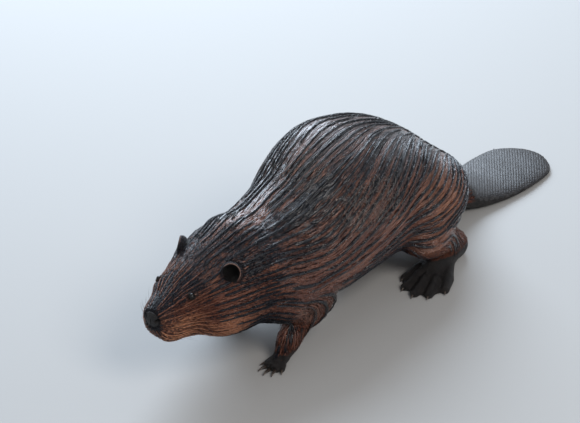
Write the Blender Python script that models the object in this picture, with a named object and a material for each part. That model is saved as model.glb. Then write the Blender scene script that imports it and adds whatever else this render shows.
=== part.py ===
"""A life-size beaver that stands hunched on its four feet, with its scaly tail laid on the ground.

The animal is one form: a function of a point that is negative inside the body, zero on the tips of the
coat and positive outside. It is a smooth union of lofts, ellipsoids and tapered limbs. Each named piece is
a mesh of that form, cut along planes and round cutters, with a gap of 0.3 mm between neighbours.

Metres, +Z up, the ground at z = 0. While it is modelled the nose is near x = 0 and faces +X, and the
animal's left is +Y. At the end everything moves, so that the middle of its box stands on the origin.
"""

import itertools
import math

import bmesh
import bpy
import numpy as np

GAP = 0.0003                      # between neighbouring pieces
SMALL = 1e-6
GRID_TRIES, FINER = 16, 0.96      # for a mesh whose edges don't all join two faces
SMOOTH_BELOW = 40.0               # degrees: a sharper edge than this is drawn as an edge
UP, FORWARD = (0.0, 0.0, 1.0), (1.0, 0.0, 0.0)

GROUND = ((0, 0, 0), UP)

# ---- driving sizes

NAPE = (-0.190, 0.012, 0.178)     # the head's own origin
HEAD_TURN = (-6.0, -9.0)          # degrees: to its left, and up
EYE_RADIUS = 0.0056
EYE_DEPTH = 0.0030                # how far the ball's centre lies under the coat
EYE_PLACE = (0.130, 0.036, 0.031)            # forward, left and up from the nape
EAR_PLACE = (0.062, 0.058, 0.046)
EAR_FACES = (0.62, 0.72, 0.32)    # where the hollow of the left ear opens to
EAR_SIZE = (0.0135, 0.0156, 0.0166)          # radii of the cup: through it, across it and up it
EAR_WALL = 0.0030
EAR_MOUTH = 0.0050                # the cup is open from this far out of its middle
EAR_RIM = 0.0020                  # its rim is rounded over this width
SEAT_ROOM = 0.0008                # round the cup, in the head
FORE_STRIDE = 0.020               # the left hand is this far ahead of the middle
HIND_STRIDE = 0.010               # the left foot is this far behind the middle
SINK = 0.0016                     # how far soles and tail are cut flat by the ground

# Lofts. A section: x, middle y, middle z, half width, height above the middle, depth below it.
HEAD_SECTIONS = (
    (0.190, 0.0, -0.002, 0.024, 0.019, 0.026),
    (0.180, 0.0, -0.002, 0.029, 0.022, 0.036),
    (0.165, 0.0, -0.001, 0.035, 0.027, 0.047),
    (0.145, 0.0, 0.001, 0.042, 0.033, 0.054),
    (0.118, 0.0, 0.004, 0.053, 0.039, 0.061),
    (0.090, 0.0, 0.005, 0.063, 0.043, 0.066),
    (0.055, 0.0, 0.004, 0.073, 0.048, 0.070),
    (0.010, 0.0, 0.003, 0.079, 0.052, 0.073),
    (-0.040, 0.0, 0.003, 0.082, 0.056, 0.076),
)
TRUNK_SECTIONS = (
    (-0.090, 0.014, 0.150, 0.050, 0.052, 0.045),
    (-0.150, 0.013, 0.155, 0.072, 0.070, 0.062),
    (-0.200, 0.013, 0.158, 0.083, 0.083, 0.080),
    (-0.260, 0.014, 0.160, 0.093, 0.096, 0.098),
    (-0.320, 0.016, 0.163, 0.103, 0.112, 0.112),
    (-0.370, 0.010, 0.165, 0.113, 0.137, 0.119),
    (-0.430, 0.003, 0.166, 0.121, 0.154, 0.120),
    (-0.500, 0.000, 0.163, 0.122, 0.145, 0.116),
    (-0.580, 0.000, 0.155, 0.116, 0.121, 0.105),
    (-0.650, 0.000, 0.142, 0.102, 0.082, 0.096),
    (-0.700, 0.000, 0.128, 0.083, 0.048, 0.076),
    (-0.745, 0.000, 0.114, 0.056, 0.024, 0.050),
)
TAIL_ROOT_SECTIONS = (
    (-0.600, 0.0, 0.130, 0.070, 0.060, 0.060),
    (-0.680, 0.0, 0.108, 0.062, 0.050, 0.054),
    (-0.740, 0.0, 0.080, 0.048, 0.038, 0.042),
    (-0.790, 0.0, 0.050, 0.039, 0.028, 0.032),
    (-0.830, 0.0, 0.030, 0.036, 0.019, 0.026),
)
TAIL_SECTIONS = (
    (-0.770, 0.0, 0.052, 0.034, 0.020, 0.026),
    (-0.820, 0.0, 0.024, 0.048, 0.017, 0.024),
    (-0.880, 0.0, 0.011, 0.063, 0.013, 0.016),
    (-0.950, 0.0, 0.008, 0.070, 0.010, 0.013),
    (-1.010, 0.0, 0.006, 0.066, 0.008, 0.011),
    (-1.060, 0.0, 0.005, 0.052, 0.007, 0.010),
)

# Swellings of the left half of the face, mirrored on the right one: place in the head's axes, and radii.
LIP = ((0.163, 0.016, -0.018), (0.022, 0.017, 0.019))
BROW = ((0.122, 0.030, 0.025), (0.026, 0.012, 0.012))
CHEEK = ((0.070, 0.044, -0.024), (0.055, 0.027, 0.038))

# How wide the joins between forms are rounded
FACE_BLEND, NECK_BLEND, TAIL_BLEND, RUMP_BLEND = 0.014, 0.060, 0.020, 0.050
ARMPIT_BLEND, GROIN_BLEND, ELBOW_BLEND, KNEE_BLEND = 0.040, 0.035, 0.020, 0.030
WRIST_BLEND, PALM_BLEND, HEEL_BLEND, INSTEP_BLEND, WEB_BLEND = 0.015, 0.008, 0.020, 0.010, 0.008
DIGIT_BLEND, CLAW_BLEND = 0.004, 0.002

# Legs, in metres, on the left side; the right one mirrors them. (x, y, z) of each joint.
SHOULDER, ELBOW, WRIST, KNUCKLES = (
    (-0.258, 0.068, 0.118), (-0.300, 0.080, 0.086), (-0.262, 0.078, 0.036), (-0.243, 0.079, 0.014))
THIGH, THIGH_SIZE, THIGH_TURN = (-0.620, 0.078, 0.128), (0.098, 0.054, 0.074), (14.0, 22.0)
KNEE, HEEL = (-0.570, 0.100, 0.078), (-0.664, 0.092, 0.024)
TOE_OUT = 12.0                    # degrees that the hind foot turns outwards
FINGER_ANGLES = (-34.0, -16.0, 0.0, 15.0, 33.0)
FINGER_REACH = (0.026, 0.037, 0.041, 0.038, 0.029)
TOE_ANGLES = (-17.0, -9.0, 0.0, 9.0, 19.0)
TOE_REACH = (0.122, 0.146, 0.158, 0.152, 0.130)   # from the heel to the claw's base
FINGER_CLAW, TOE_CLAW = 0.014, 0.013
CLAW_TIP = 0.0016                 # height of a claw's tip above the ground
INSTEP = ((0.0, 0.0, 0.018), (0.085, 0.0, 0.010))       # its ends, from the heel
WEB = ((0.104, 0.002, 0.0035), (0.050, 0.042, 0.0050))  # place from the heel, and radii
KNUCKLE_AT, DIGIT_START_AT = 0.72, 0.25                 # shares of a digit's reach

# Radii of each limb, at its upper and its lower end
UPPER_ARM_RADII, FOREARM_RADII, PALM_RADII = (0.050, 0.036), (0.033, 0.019), (0.018, 0.0145)
SHANK_RADII, INSTEP_RADII = (0.038, 0.024), (0.021, 0.016)
FINGER_RADII, TOE_RADII, CLAW_RADII = (0.0072, 0.0058), (0.0095, 0.0068), (0.0032, 0.0014)

# Where the pieces part
HEAD_CUT = 0.014                  # forward of the nape
NECK_CUT = -0.214                 # x
LOIN_CUT = -0.500
TAIL_ROOT_CUT = (-0.728, 0.0, 0.090)
TAIL_CUT = (-0.806, 0.0, 0.040)
TAIL_SLOPE = 20.0                 # degrees that the last two cuts lean
WRIST_CUT = 0.043                 # z
ANKLE_CUT = 0.042
NOSE_CUT = ((0.189, 0.0, 0.007), (0.013, 0.019, 0.015))         # place and size in the head
JAW_CUT = ((0.030, 0.0, -0.056), (0.150, 0.052, 0.030))         # middle and half size, in the head
FORELEG_CUT = ((-0.278, 0.098, 0.086), (0.056, 0.048, 0.072))
HINDLEG_CUT = ((-0.612, 0.104, 0.104), (0.090, 0.062, 0.084))

# What each piece is meshed from: two corners of its box, the grid's cell, and its number of triangles.
# The boxes of the legs are those of the left side.
BLOCKS = {
    "head": ((-0.210, -0.120, 0.050), (0.020, 0.130, 0.270), 0.0040, 1050),
    "lower_jaw": ((-0.210, -0.120, 0.050), (0.020, 0.130, 0.270), 0.0050, 520),
    "nose": ((-0.035, -0.050, 0.110), (0.012, 0.040, 0.190), 0.0025, 150),
    "neck": ((-0.235, -0.140, 0.030), (-0.140, 0.160, 0.290), 0.0080, 420),
    "trunk": ((-0.530, -0.170, 0.020), (-0.190, 0.170, 0.350), 0.0100, 700),
    "rump": ((-0.780, -0.170, 0.010), (-0.470, 0.170, 0.350), 0.0090, 620),
    "tail_root": ((-0.840, -0.170, -0.010), (-0.670, 0.170, 0.230), 0.0060, 420),
    "tail": ((-1.080, -0.100, -0.010), (-0.770, 0.100, 0.090), 0.0050, 440),
    "foreleg": ((-0.350, 0.020, 0.030), (-0.200, 0.160, 0.180), 0.0060, 300),
    "forefoot": ((-0.330, 0.020, -0.010), (-0.140, 0.150, 0.060), 0.0022, 500),
    "hindleg": ((-0.760, 0.010, 0.030), (-0.490, 0.190, 0.220), 0.0070, 340),
    "hindfoot": ((-0.720, 0.010, -0.010), (-0.440, 0.190, 0.070), 0.0030, 580),
}
EAR_CELL, EAR_TRIANGLES = 0.0010, 260
EYE_SEGMENTS, EAR_SEGMENTS, CUTTER_SEGMENTS = 12, 16, 18


# ---- forms: functions of points, negative inside

def length(vectors):
    return np.sqrt((vectors * vectors).sum(-1))


def smooth_min(a, b, blend):
    """The union of two forms, rounded over a width of blend."""
    near = np.maximum(blend - np.abs(a - b), 0.0) / blend
    return np.minimum(a, b) - near * near * blend / 4


def tapered(p, start, end, radii):
    """A limb from start to end with round ends."""
    start, end = np.array(start), np.array(end)
    axis = end - start
    along = np.clip((p - start) @ axis / (axis @ axis), 0, 1)
    radius = radii[0] + (radii[1] - radii[0]) * along
    return length(p - start - along[..., None] * axis) - radius


def ellipsoid(p, radii):
    scaled = length(p / radii)
    return scaled * (scaled - 1) / (length(p / np.square(radii)) + SMALL)


def turn_matrix(yaw, pitch):
    """Columns are a turned form's forward, left and up: yaw to its left, then pitch up, in degrees."""
    yaw, pitch = math.radians(yaw), math.radians(pitch)
    forward = (math.cos(yaw) * math.cos(pitch), math.sin(yaw) * math.cos(pitch), math.sin(pitch))
    left = (-math.sin(yaw), math.cos(yaw), 0.0)
    return np.array([forward, left, np.cross(forward, left)]).T


def in_frame(p, origin, turn):
    """Points in the own axes of a form that stands at origin."""
    return (p - np.array(origin)) @ turn_matrix(*turn)


def from_head(place):
    """A place in the head's own axes, in the whole animal's."""
    return np.array(NAPE) + turn_matrix(*HEAD_TURN) @ np.array(place)


class Loft:
    """Superelliptic sections along x with a smooth curve through them and elliptical ends."""

    STEPS = 200
    ABOVE, BELOW = 2.12, 2.4      # powers of the sections' upper and lower halves: 2 is an ellipse

    def __init__(self, sections, low_cap, high_cap):
        rows = np.array(sorted(sections))
        at = rows[:, 0]
        slope = np.gradient(rows, at, axis=0)
        self.x = np.linspace(at[0], at[-1], self.STEPS)
        i = np.clip(np.searchsorted(at, self.x, side="right") - 1, 0, len(at) - 2)
        span = (at[i + 1] - at[i])[:, None]
        t = (self.x - at[i])[:, None] / span
        start = (2 * t ** 3 - 3 * t ** 2 + 1) * rows[i] + (t ** 3 - 2 * t ** 2 + t) * span * slope[i]
        end = (3 * t ** 2 - 2 * t ** 3) * rows[i + 1] + (t ** 3 - t ** 2) * span * slope[i + 1]
        self.curves = (start + end).T[1:]
        self.low_cap, self.high_cap = low_cap, high_cap

    def __call__(self, p):
        x = p[..., 0]
        y_mid, z_mid, wide, up, down = (np.interp(x, self.x, curve) for curve in self.curves)
        y, z = np.abs(p[..., 1] - y_mid), p[..., 2] - z_mid
        tall = np.where(z > 0, up, down)
        power = np.where(z > 0, self.ABOVE, self.BELOW)
        across = ((y / wide) ** power + (np.abs(z) / tall) ** power) ** (1 / power)
        past_low = np.maximum(self.x[0] + self.low_cap - x, 0)
        past_high = np.maximum(x - self.x[-1] + self.high_cap, 0)
        ratio = np.sqrt(across ** 2 + (past_low / self.low_cap + past_high / self.high_cap) ** 2) + SMALL
        reach = np.sqrt(y ** 2 + z ** 2 + (past_low + past_high) ** 2)
        return np.where(ratio < 0.05, -np.minimum(wide, tall), reach * (1 - 1 / ratio))


HEAD = Loft(HEAD_SECTIONS, 0.040, 0.012)
TRUNK = Loft(TRUNK_SECTIONS, 0.035, 0.050)
TAIL_ROOT = Loft(TAIL_ROOT_SECTIONS, 0.020, 0.030)
TAIL = Loft(TAIL_SECTIONS, 0.055, 0.020)


def head_form(p):
    q = in_frame(p, NAPE, HEAD_TURN)
    form = HEAD(q)
    q = np.stack([q[..., 0], np.abs(q[..., 1]), q[..., 2]], -1)
    for place, radii in (LIP, BROW, CHEEK):
        form = smooth_min(form, ellipsoid(q - np.array(place), radii), FACE_BLEND)
    return form


def torso_form(p):
    form = smooth_min(TRUNK(p), head_form(p), NECK_BLEND)
    tail = smooth_min(TAIL_ROOT(p), TAIL(p), TAIL_BLEND)
    return smooth_min(form, tail, RUMP_BLEND)


def mirrored(p, side):
    """Points for the left leg's forms (side 1), or the right one's (side -1)."""
    return np.stack([p[..., 0], p[..., 1] * side, p[..., 2]], -1)


def moved(place, forward):
    return (place[0] + forward, place[1], place[2])


def fan(p, root, facing, angles, reaches, radii, claw):
    """Digits that spread from root, each with its claw."""
    form = np.full(p.shape[:-1], 1.0)
    root, lift = np.array((root[0], root[1], 0.0)), root[2] * np.array(UP)
    thick, thin = radii
    for angle, reach in zip(angles, reaches):
        heading = math.radians(facing + angle)
        way = np.array((math.cos(heading), math.sin(heading), 0.0))
        start = root + lift + way * reach * DIGIT_START_AT
        knuckle = root + lift * 0.75 + way * reach * KNUCKLE_AT
        end = root + way * reach + (thin - SINK) * np.array(UP)
        tip = root + way * (reach + claw) + CLAW_TIP * np.array(UP)
        digit = smooth_min(tapered(p, start, knuckle, (thick, thick * 0.9)),
                           tapered(p, knuckle, end, (thick * 0.9, thin)), DIGIT_BLEND)
        digit = smooth_min(digit, tapered(p, end, tip, CLAW_RADII), CLAW_BLEND)
        form = smooth_min(form, digit, DIGIT_BLEND)
    return form


def upper_arm_form(q, stride):
    return tapered(q, moved(SHOULDER, stride / 4), moved(ELBOW, stride / 2), UPPER_ARM_RADII)


def forefoot_form(q, stride):
    wrist, palm = moved(WRIST, stride), moved(KNUCKLES, stride)
    form = tapered(q, moved(ELBOW, stride / 2), wrist, FOREARM_RADII)
    form = smooth_min(form, tapered(q, wrist, palm, PALM_RADII), WRIST_BLEND)
    root = (palm[0], palm[1], 0.008)
    fingers = fan(q, root, 4.0, FINGER_ANGLES, FINGER_REACH, FINGER_RADII, FINGER_CLAW)
    return smooth_min(form, fingers, PALM_BLEND)


def foreleg_form(q, stride):
    return smooth_min(upper_arm_form(q, stride), forefoot_form(q, stride), ELBOW_BLEND)


def hindfoot_form(q, stride):
    heel = moved(HEEL, stride)
    shank = tapered(q, moved(KNEE, stride), heel, SHANK_RADII)
    local = in_frame(q, (heel[0], heel[1], 0.0), (TOE_OUT, 0.0))
    toes = fan(local, (0.0, 0.0, 0.012), 0.0, TOE_ANGLES, TOE_REACH, TOE_RADII, TOE_CLAW)
    foot = smooth_min(tapered(local, *INSTEP, INSTEP_RADII), toes, INSTEP_BLEND)
    foot = smooth_min(foot, ellipsoid(local - np.array(WEB[0]), WEB[1]), WEB_BLEND)
    return smooth_min(shank, foot, HEEL_BLEND)


def thigh_form(q, stride):
    return ellipsoid(in_frame(q, moved(THIGH, stride), THIGH_TURN), THIGH_SIZE)


def hindleg_form(q, stride):
    return smooth_min(thigh_form(q, stride), hindfoot_form(q, stride), KNEE_BLEND)


def beaver_form(p):
    """The whole animal, out to the tips of its coat."""
    form = torso_form(p)
    for side in (1, -1):
        q = mirrored(p, side)
        form = smooth_min(form, foreleg_form(q, FORE_STRIDE * side), ARMPIT_BLEND)
        form = smooth_min(form, hindleg_form(q, -HIND_STRIDE * side), GROIN_BLEND)
    return form


def body_form(p):
    """The animal as far down as its thighs and upper arms."""
    form = torso_form(p)
    for side in (1, -1):
        q = mirrored(p, side)
        form = smooth_min(form, upper_arm_form(q, FORE_STRIDE * side), ARMPIT_BLEND)
        form = smooth_min(form, thigh_form(q, -HIND_STRIDE * side), GROIN_BLEND)
    return form


def ear_axes():
    """Columns: out of the left ear's hollow, across the ear and up it, in the head's own axes."""
    out = np.array(EAR_FACES) / math.hypot(*EAR_FACES)
    across = np.cross((0.0, 0.0, 1.0), out)
    across /= math.hypot(*across)
    return np.array([out, across, np.cross(out, across)]).T


def ear_form(p, side):
    """A small round cup, open to the front and the side."""
    q = mirrored(in_frame(p, NAPE, HEAD_TURN), side)
    q = (q - np.array(EAR_PLACE)) @ ear_axes()
    wall = np.abs(ellipsoid(q, EAR_SIZE)) - EAR_WALL / 2
    return -smooth_min(-wall, EAR_MOUTH - q[..., 0], EAR_RIM)


# ---- meshes

def grid_values(form, axes):
    """The form's value at every point of a grid."""
    return form(np.stack(np.meshgrid(*axes, indexing="ij"), -1))


def other_axes(axis):
    return (other for other in range(3) if other != axis)


def axis_crossings(value, axis):
    """Along one axis: which grid edges cross the surface, which start inside it, and how far they cross."""
    first = np.moveaxis(np.moveaxis(value, axis, 0)[:-1], 0, axis)
    second = np.moveaxis(np.moveaxis(value, axis, 0)[1:], 0, axis)
    crosses = (first < 0) != (second < 0)
    along = np.where(crosses, first / np.where(crosses, first - second, 1), 0)
    return crosses, first < 0, along


def cell_places(crossings, shape):
    """Which cells hold a piece of the surface, and the mean of its crossings in each of them."""
    place, hits = np.zeros(shape + (3,)), np.zeros(shape)
    for axis, (crosses, _, along) in enumerate(crossings):
        a, b = other_axes(axis)
        for step_a, step_b in itertools.product((0, 1), repeat=2):
            part = [slice(None)] * 3
            part[a] = slice(step_a, step_a + shape[a])
            part[b] = slice(step_b, step_b + shape[b])
            hit = crosses[tuple(part)]
            hits += hit
            place[..., axis] += along[tuple(part)]
            place[..., a] += hit * step_a
            place[..., b] += hit * step_b
    used = hits > 0
    return used, place[used] / hits[used][:, None]


def crossing_faces(number, axis, crosses, inside):
    """One four-sided face round each grid edge that crosses the surface."""
    a, b = other_axes(axis)
    edge = np.argwhere(crosses)
    ring = []
    for step_a, step_b in ((1, 1), (0, 1), (0, 0), (1, 0)):
        at = edge.copy()
        at[:, a] -= step_a
        at[:, b] -= step_b
        ring.append(number[tuple(at.T)])
    ring = np.stack(ring, 1)
    forwards = inside[tuple(edge.T)] != (axis == 1)
    return np.where(forwards[:, None], ring, ring[:, ::-1])


def surface_net(form, low, high, cell):
    """Points and four-sided faces of the form's surface inside a box, where it is closed."""
    low, high = np.array(low), np.array(high)
    middle, half = (low + high) / 2, (high - low) / 2

    def boxed(p):
        return np.maximum(form(p), (np.abs(p - middle) - half).max(-1))

    axes = [np.arange(low[i] - 2 * cell, high[i] + 3 * cell, cell) for i in range(3)]
    value = grid_values(boxed, axes)
    crossings = [axis_crossings(value, axis) for axis in range(3)]
    used, place = cell_places(crossings, tuple(n - 1 for n in value.shape))
    number = np.full(used.shape, -1)
    number[used] = np.arange(used.sum())
    corner = np.array([axis[0] for axis in axes])
    points = corner + cell * (np.argwhere(used) + place)
    faces = [crossing_faces(number, axis, *crossings[axis][:2]) for axis in range(3)]
    return settled(boxed, points), np.concatenate(faces)


def clean_net(form, low, high, cell):
    """A surface net whose every edge joins two faces. Where one doesn't, a slightly finer grid is tried."""
    for _ in range(GRID_TRIES):
        points, faces = surface_net(form, low, high, cell)
        edges = np.concatenate([faces[:, [k, (k + 1) % 4]] for k in range(4)])
        uses = np.unique(np.sort(edges, axis=1), axis=0, return_counts=True)[1]
        if (uses == 2).all():
            break
        cell *= FINER
    return points, faces


def settled(form, points, step=0.0003, rounds=2):
    """The points moved along the form's slope until they lie on its surface."""
    for _ in range(rounds):
        slope = np.stack([(form(points + step * axis) - form(points - step * axis)) / (2 * step)
                          for axis in np.eye(3)], -1)
        steep = np.maximum((slope * slope).sum(-1), 0.25)
        points = points - (form(points) / steep)[:, None] * slope
    return points


def decimated(name, points, faces, triangles):
    """A mesh of the faces with about so many triangles."""
    fine = bpy.data.meshes.new(name + "_fine")
    fine.from_pydata(points.tolist(), [], faces.tolist())
    helper = bpy.data.objects.new(name + "_fine", fine)
    bpy.context.collection.objects.link(helper)
    modifier = helper.modifiers.new("Decimate", "DECIMATE")
    modifier.ratio = min(1.0, triangles / (2 * len(faces)))
    graph = bpy.context.evaluated_depsgraph_get()
    mesh = bpy.data.meshes.new_from_object(helper.evaluated_get(graph))
    bpy.data.objects.remove(helper)
    return mesh


def cut_flat(mesh, planes):
    """Keeps what lies on the side that each plane's normal points to, and closes the cut."""
    work = bmesh.new()
    work.from_mesh(mesh)
    for point, normal in planes:
        everything = work.verts[:] + work.edges[:] + work.faces[:]
        cut = bmesh.ops.bisect_plane(work, geom=everything, dist=SMALL, plane_co=point, plane_no=normal,
                                     clear_inner=True)
        rim = [item for item in cut["geom_cut"] if isinstance(item, bmesh.types.BMEdge)]
        bmesh.ops.holes_fill(work, edges=rim)
    bmesh.ops.triangulate(work, faces=work.faces)
    work.to_mesh(mesh)
    work.free()


def add_object(name, mesh, material, parent):
    piece = bpy.data.objects.new(name, mesh)
    mesh.name = name
    mesh.materials.clear()
    mesh.materials.append(material)
    mesh.shade_smooth()
    mesh.set_sharp_from_angle(angle=math.radians(SMOOTH_BELOW))
    bpy.context.collection.objects.link(piece)
    piece.parent = parent
    return piece


def add_cutter(name, mesh, parent):
    cutter = bpy.data.objects.new(name, mesh)
    bpy.context.collection.objects.link(cutter)
    cutter.display_type = "WIRE"
    cutter.hide_render = True
    cutter.parent = parent
    return cutter


def shaped(work, name, axes, middle, size):
    """The mesh of a unit shape, stretched to size along the columns of axes and moved to middle."""
    for vert in work.verts:
        vert.co = np.array(middle) + axes @ (np.array(vert.co) * size)
    mesh = bpy.data.meshes.new(name)
    work.to_mesh(mesh)
    work.free()
    return mesh


def ellipsoid_mesh(name, axes, middle, radii, segments=CUTTER_SEGMENTS):
    work = bmesh.new()
    bmesh.ops.create_uvsphere(work, u_segments=segments, v_segments=segments // 2, radius=1.0)
    return shaped(work, name, axes, middle, radii)


def box_mesh(name, axes, middle, half_size):
    work = bmesh.new()
    bmesh.ops.create_cube(work, size=2.0)
    return shaped(work, name, axes, middle, half_size)


def cut_round(piece, operation, cutters):
    for cutter in cutters:
        modifier = piece.modifiers.new(cutter.name, "BOOLEAN")
        modifier.operation = operation
        modifier.object = cutter


# ---- the pieces

def material(name, colour, roughness):
    made = bpy.data.materials.new(name)
    made.use_nodes = True
    shader = made.node_tree.nodes["Principled BSDF"]
    shader.inputs["Base Color"].default_value = (*colour, 1.0)
    shader.inputs["Roughness"].default_value = roughness
    return made


class Workshop:
    """The materials, the parent of every object, and the round cutters that neighbours share."""

    def __init__(self):
        self.parent = bpy.data.objects.new("beaver", None)
        bpy.context.collection.objects.link(self.parent)
        self.fur = material("fur", (0.050, 0.026, 0.018), 0.35)
        self.leather = material("leather", (0.022, 0.018, 0.017), 0.45)
        self.eye = material("eye", (0.006, 0.005, 0.005), 0.05)
        self.head_axes = turn_matrix(*HEAD_TURN)

    def pair(self, name, axes, middle, size, make=ellipsoid_mesh):
        """Two cutters of one shape: one that keeps a piece, and a slightly larger one for its neighbour."""
        size = np.array(size)
        keep = add_cutter(name + "_keep", make(name, axes, middle, size - GAP / 2), self.parent)
        clear = add_cutter(name + "_clear", make(name, axes, middle, size + GAP / 2), self.parent)
        return keep, clear

    def piece(self, name, form, planes=(), look=None, side=1):
        """A piece of the form. A leg's name ends in its side's letter, which its block doesn't have."""
        low, high, cell, triangles = BLOCKS[name.removesuffix("_l").removesuffix("_r")]
        ends = sorted((low[1] * side, high[1] * side))
        points, faces = clean_net(form, (low[0], ends[0], low[2]), (high[0], ends[1], high[2]), cell)
        mesh = decimated(name, points, faces, triangles)
        cut_flat(mesh, planes)
        return add_object(name, mesh, look or self.fur, self.parent)


def plane_pair(point, normal):
    """The same cut for both neighbours: each plane keeps the side that its normal points to."""
    point, normal = np.array(point, float), np.array(normal, float)
    ahead = (tuple(point + normal * GAP / 2), tuple(normal))
    behind = (tuple(point - normal * GAP / 2), tuple(-normal))
    return ahead, behind


def sunk(form, place, depth):
    """The point under place that lies so deep in the form."""
    return settled(lambda p: form(p) + depth, np.array([place]), rounds=6)[0]


def add_head(shop):
    """Head, lower jaw, nose, eyes and ears."""
    ahead, behind = plane_pair(from_head((HEAD_CUT, 0, 0)), shop.head_axes[:, 0])
    head = shop.piece("head", beaver_form, [ahead])
    nose = shop.piece("nose", beaver_form, look=shop.leather)
    jaw = shop.piece("lower_jaw", beaver_form, [ahead])
    nose_middle, jaw_middle = from_head(NOSE_CUT[0]), from_head(JAW_CUT[0])
    nose_keep, nose_clear = shop.pair("nose_cutter", shop.head_axes, nose_middle, NOSE_CUT[1])
    jaw_keep, jaw_clear = shop.pair("jaw_cutter", shop.head_axes, jaw_middle, JAW_CUT[1], box_mesh)
    cut_round(nose, "INTERSECT", [nose_keep])
    cut_round(jaw, "INTERSECT", [jaw_keep])
    cut_round(head, "DIFFERENCE", [nose_clear, jaw_clear])
    for side, letter in ((1, "l"), (-1, "r")):
        add_eye(shop, head, side, letter)
        add_ear(shop, head, side, letter)
    return behind


def add_eye(shop, head, side, letter):
    forward, left, up = EYE_PLACE
    middle = sunk(head_form, from_head((forward, left * side, up)), EYE_DEPTH)
    ball, socket = np.full(3, EYE_RADIUS), np.full(3, EYE_RADIUS + GAP)
    sphere = ellipsoid_mesh("eye_" + letter, np.eye(3), middle, ball, EYE_SEGMENTS)
    add_object("eye_" + letter, sphere, shop.eye, shop.parent)
    hollow = ellipsoid_mesh("socket", np.eye(3), middle, socket, EYE_SEGMENTS)
    cut_round(head, "DIFFERENCE", [add_cutter("eye_cutter_" + letter, hollow, shop.parent)])


def add_ear(shop, head, side, letter):
    name = "ear_" + letter
    mirror = np.diag((1.0, side, 1.0))
    middle = from_head(mirror @ np.array(EAR_PLACE))
    reach = np.full(3, max(EAR_SIZE) + EAR_WALL)
    points, faces = clean_net(lambda p: ear_form(p, side), middle - reach, middle + reach, EAR_CELL)
    ear = decimated(name, points, faces, EAR_TRIANGLES)
    add_object(name, ear, shop.fur, shop.parent)
    axes = shop.head_axes @ mirror @ ear_axes() @ mirror
    size = np.array(EAR_SIZE) + EAR_WALL / 2 + SEAT_ROOM
    seat = ellipsoid_mesh("seat", axes, middle, size, EAR_SEGMENTS)
    cut_round(head, "DIFFERENCE", [add_cutter("ear_cutter_" + letter, seat, shop.parent)])


def add_trunk(shop, neck_front):
    """Neck, trunk, rump, tail root and tail."""
    lean = math.radians(TAIL_SLOPE)
    slope = (math.cos(lean), 0.0, -math.sin(lean))
    neck_back, trunk_front = plane_pair((NECK_CUT, 0, 0), FORWARD)
    trunk_back, rump_front = plane_pair((LOIN_CUT, 0, 0), FORWARD)
    rump_back, root_front = plane_pair(TAIL_ROOT_CUT, slope)
    root_back, tail_front = plane_pair(TAIL_CUT, slope)
    shop.piece("neck", body_form, [neck_front, neck_back])
    trunk = shop.piece("trunk", body_form, [trunk_front, trunk_back])
    rump = shop.piece("rump", body_form, [rump_front, rump_back])
    shop.piece("tail_root", body_form, [root_front, root_back, GROUND])
    shop.piece("tail", torso_form, [tail_front, GROUND], look=shop.leather)
    return trunk, rump


def add_leg(shop, name, form, plane, cutter, forward, side, body):
    """The upper part of a leg, and the room for it in the trunk or the rump."""
    (x, y, z), size = cutter
    keep, clear = shop.pair(name + "_cutter", np.eye(3), (x + forward, y * side, z), size)
    leg = shop.piece(name, form, [plane], side=side)
    cut_round(leg, "INTERSECT", [keep])
    cut_round(body, "DIFFERENCE", [clear])


def add_legs(shop, trunk, rump):
    """Each leg and each foot."""
    arm_plane, hand_plane = plane_pair((0, 0, WRIST_CUT), UP)
    leg_plane, foot_plane = plane_pair((0, 0, ANKLE_CUT), UP)
    for side, letter in ((1, "l"), (-1, "r")):
        fore, hind = FORE_STRIDE * side, -HIND_STRIDE * side

        def hand(p):
            return foreleg_form(mirrored(p, side), fore)

        def foot(p):
            return hindfoot_form(mirrored(p, side), hind)

        add_leg(shop, "foreleg_" + letter, beaver_form, arm_plane, FORELEG_CUT, fore / 4, side, trunk)
        add_leg(shop, "hindleg_" + letter, beaver_form, leg_plane, HINDLEG_CUT, hind / 2, side, rump)
        shop.piece("forefoot_" + letter, hand, [hand_plane, GROUND], shop.leather, side)
        shop.piece("hindfoot_" + letter, foot, [foot_plane, GROUND], shop.leather, side)


def stand_on_origin(parent):
    """Moves the animal so that the middle of its box stands on the origin."""
    bpy.context.view_layer.update()
    graph = bpy.context.evaluated_depsgraph_get()
    pieces = [item for item in parent.children if not item.hide_render]
    corners = [np.array([vert.co for vert in item.evaluated_get(graph).data.vertices]) for item in pieces]
    low = np.min([points.min(0) for points in corners], 0)
    high = np.max([points.max(0) for points in corners], 0)
    parent.location = (-(low[0] + high[0]) / 2, -(low[1] + high[1]) / 2, 0.0)


def main():
    for item in list(bpy.data.objects):
        bpy.data.objects.remove(item)
    shop = Workshop()
    neck_front = add_head(shop)
    trunk, rump = add_trunk(shop, neck_front)
    add_legs(shop, trunk, rump)
    stand_on_origin(shop.parent)


main()
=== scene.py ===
"""How the beaver looks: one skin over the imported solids, with lids, lips, nostrils, ear hollows and webs, and
on it a wet coat of overlapping locks, the tail's scales, the claws, the whiskers and the eyes.

The skin and the coat come from the same form as the solids: a function of a point that is negative inside the
animal, zero on the tips of its coat and positive outside. The form is worked out with the nose near x = 0,
facing +X, and the animal's left at +Y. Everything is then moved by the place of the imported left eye.
"""

import collections
import itertools
import math

import bpy
import numpy as np
from mathutils import Matrix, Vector
from mathutils.kdtree import KDTree


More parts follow.
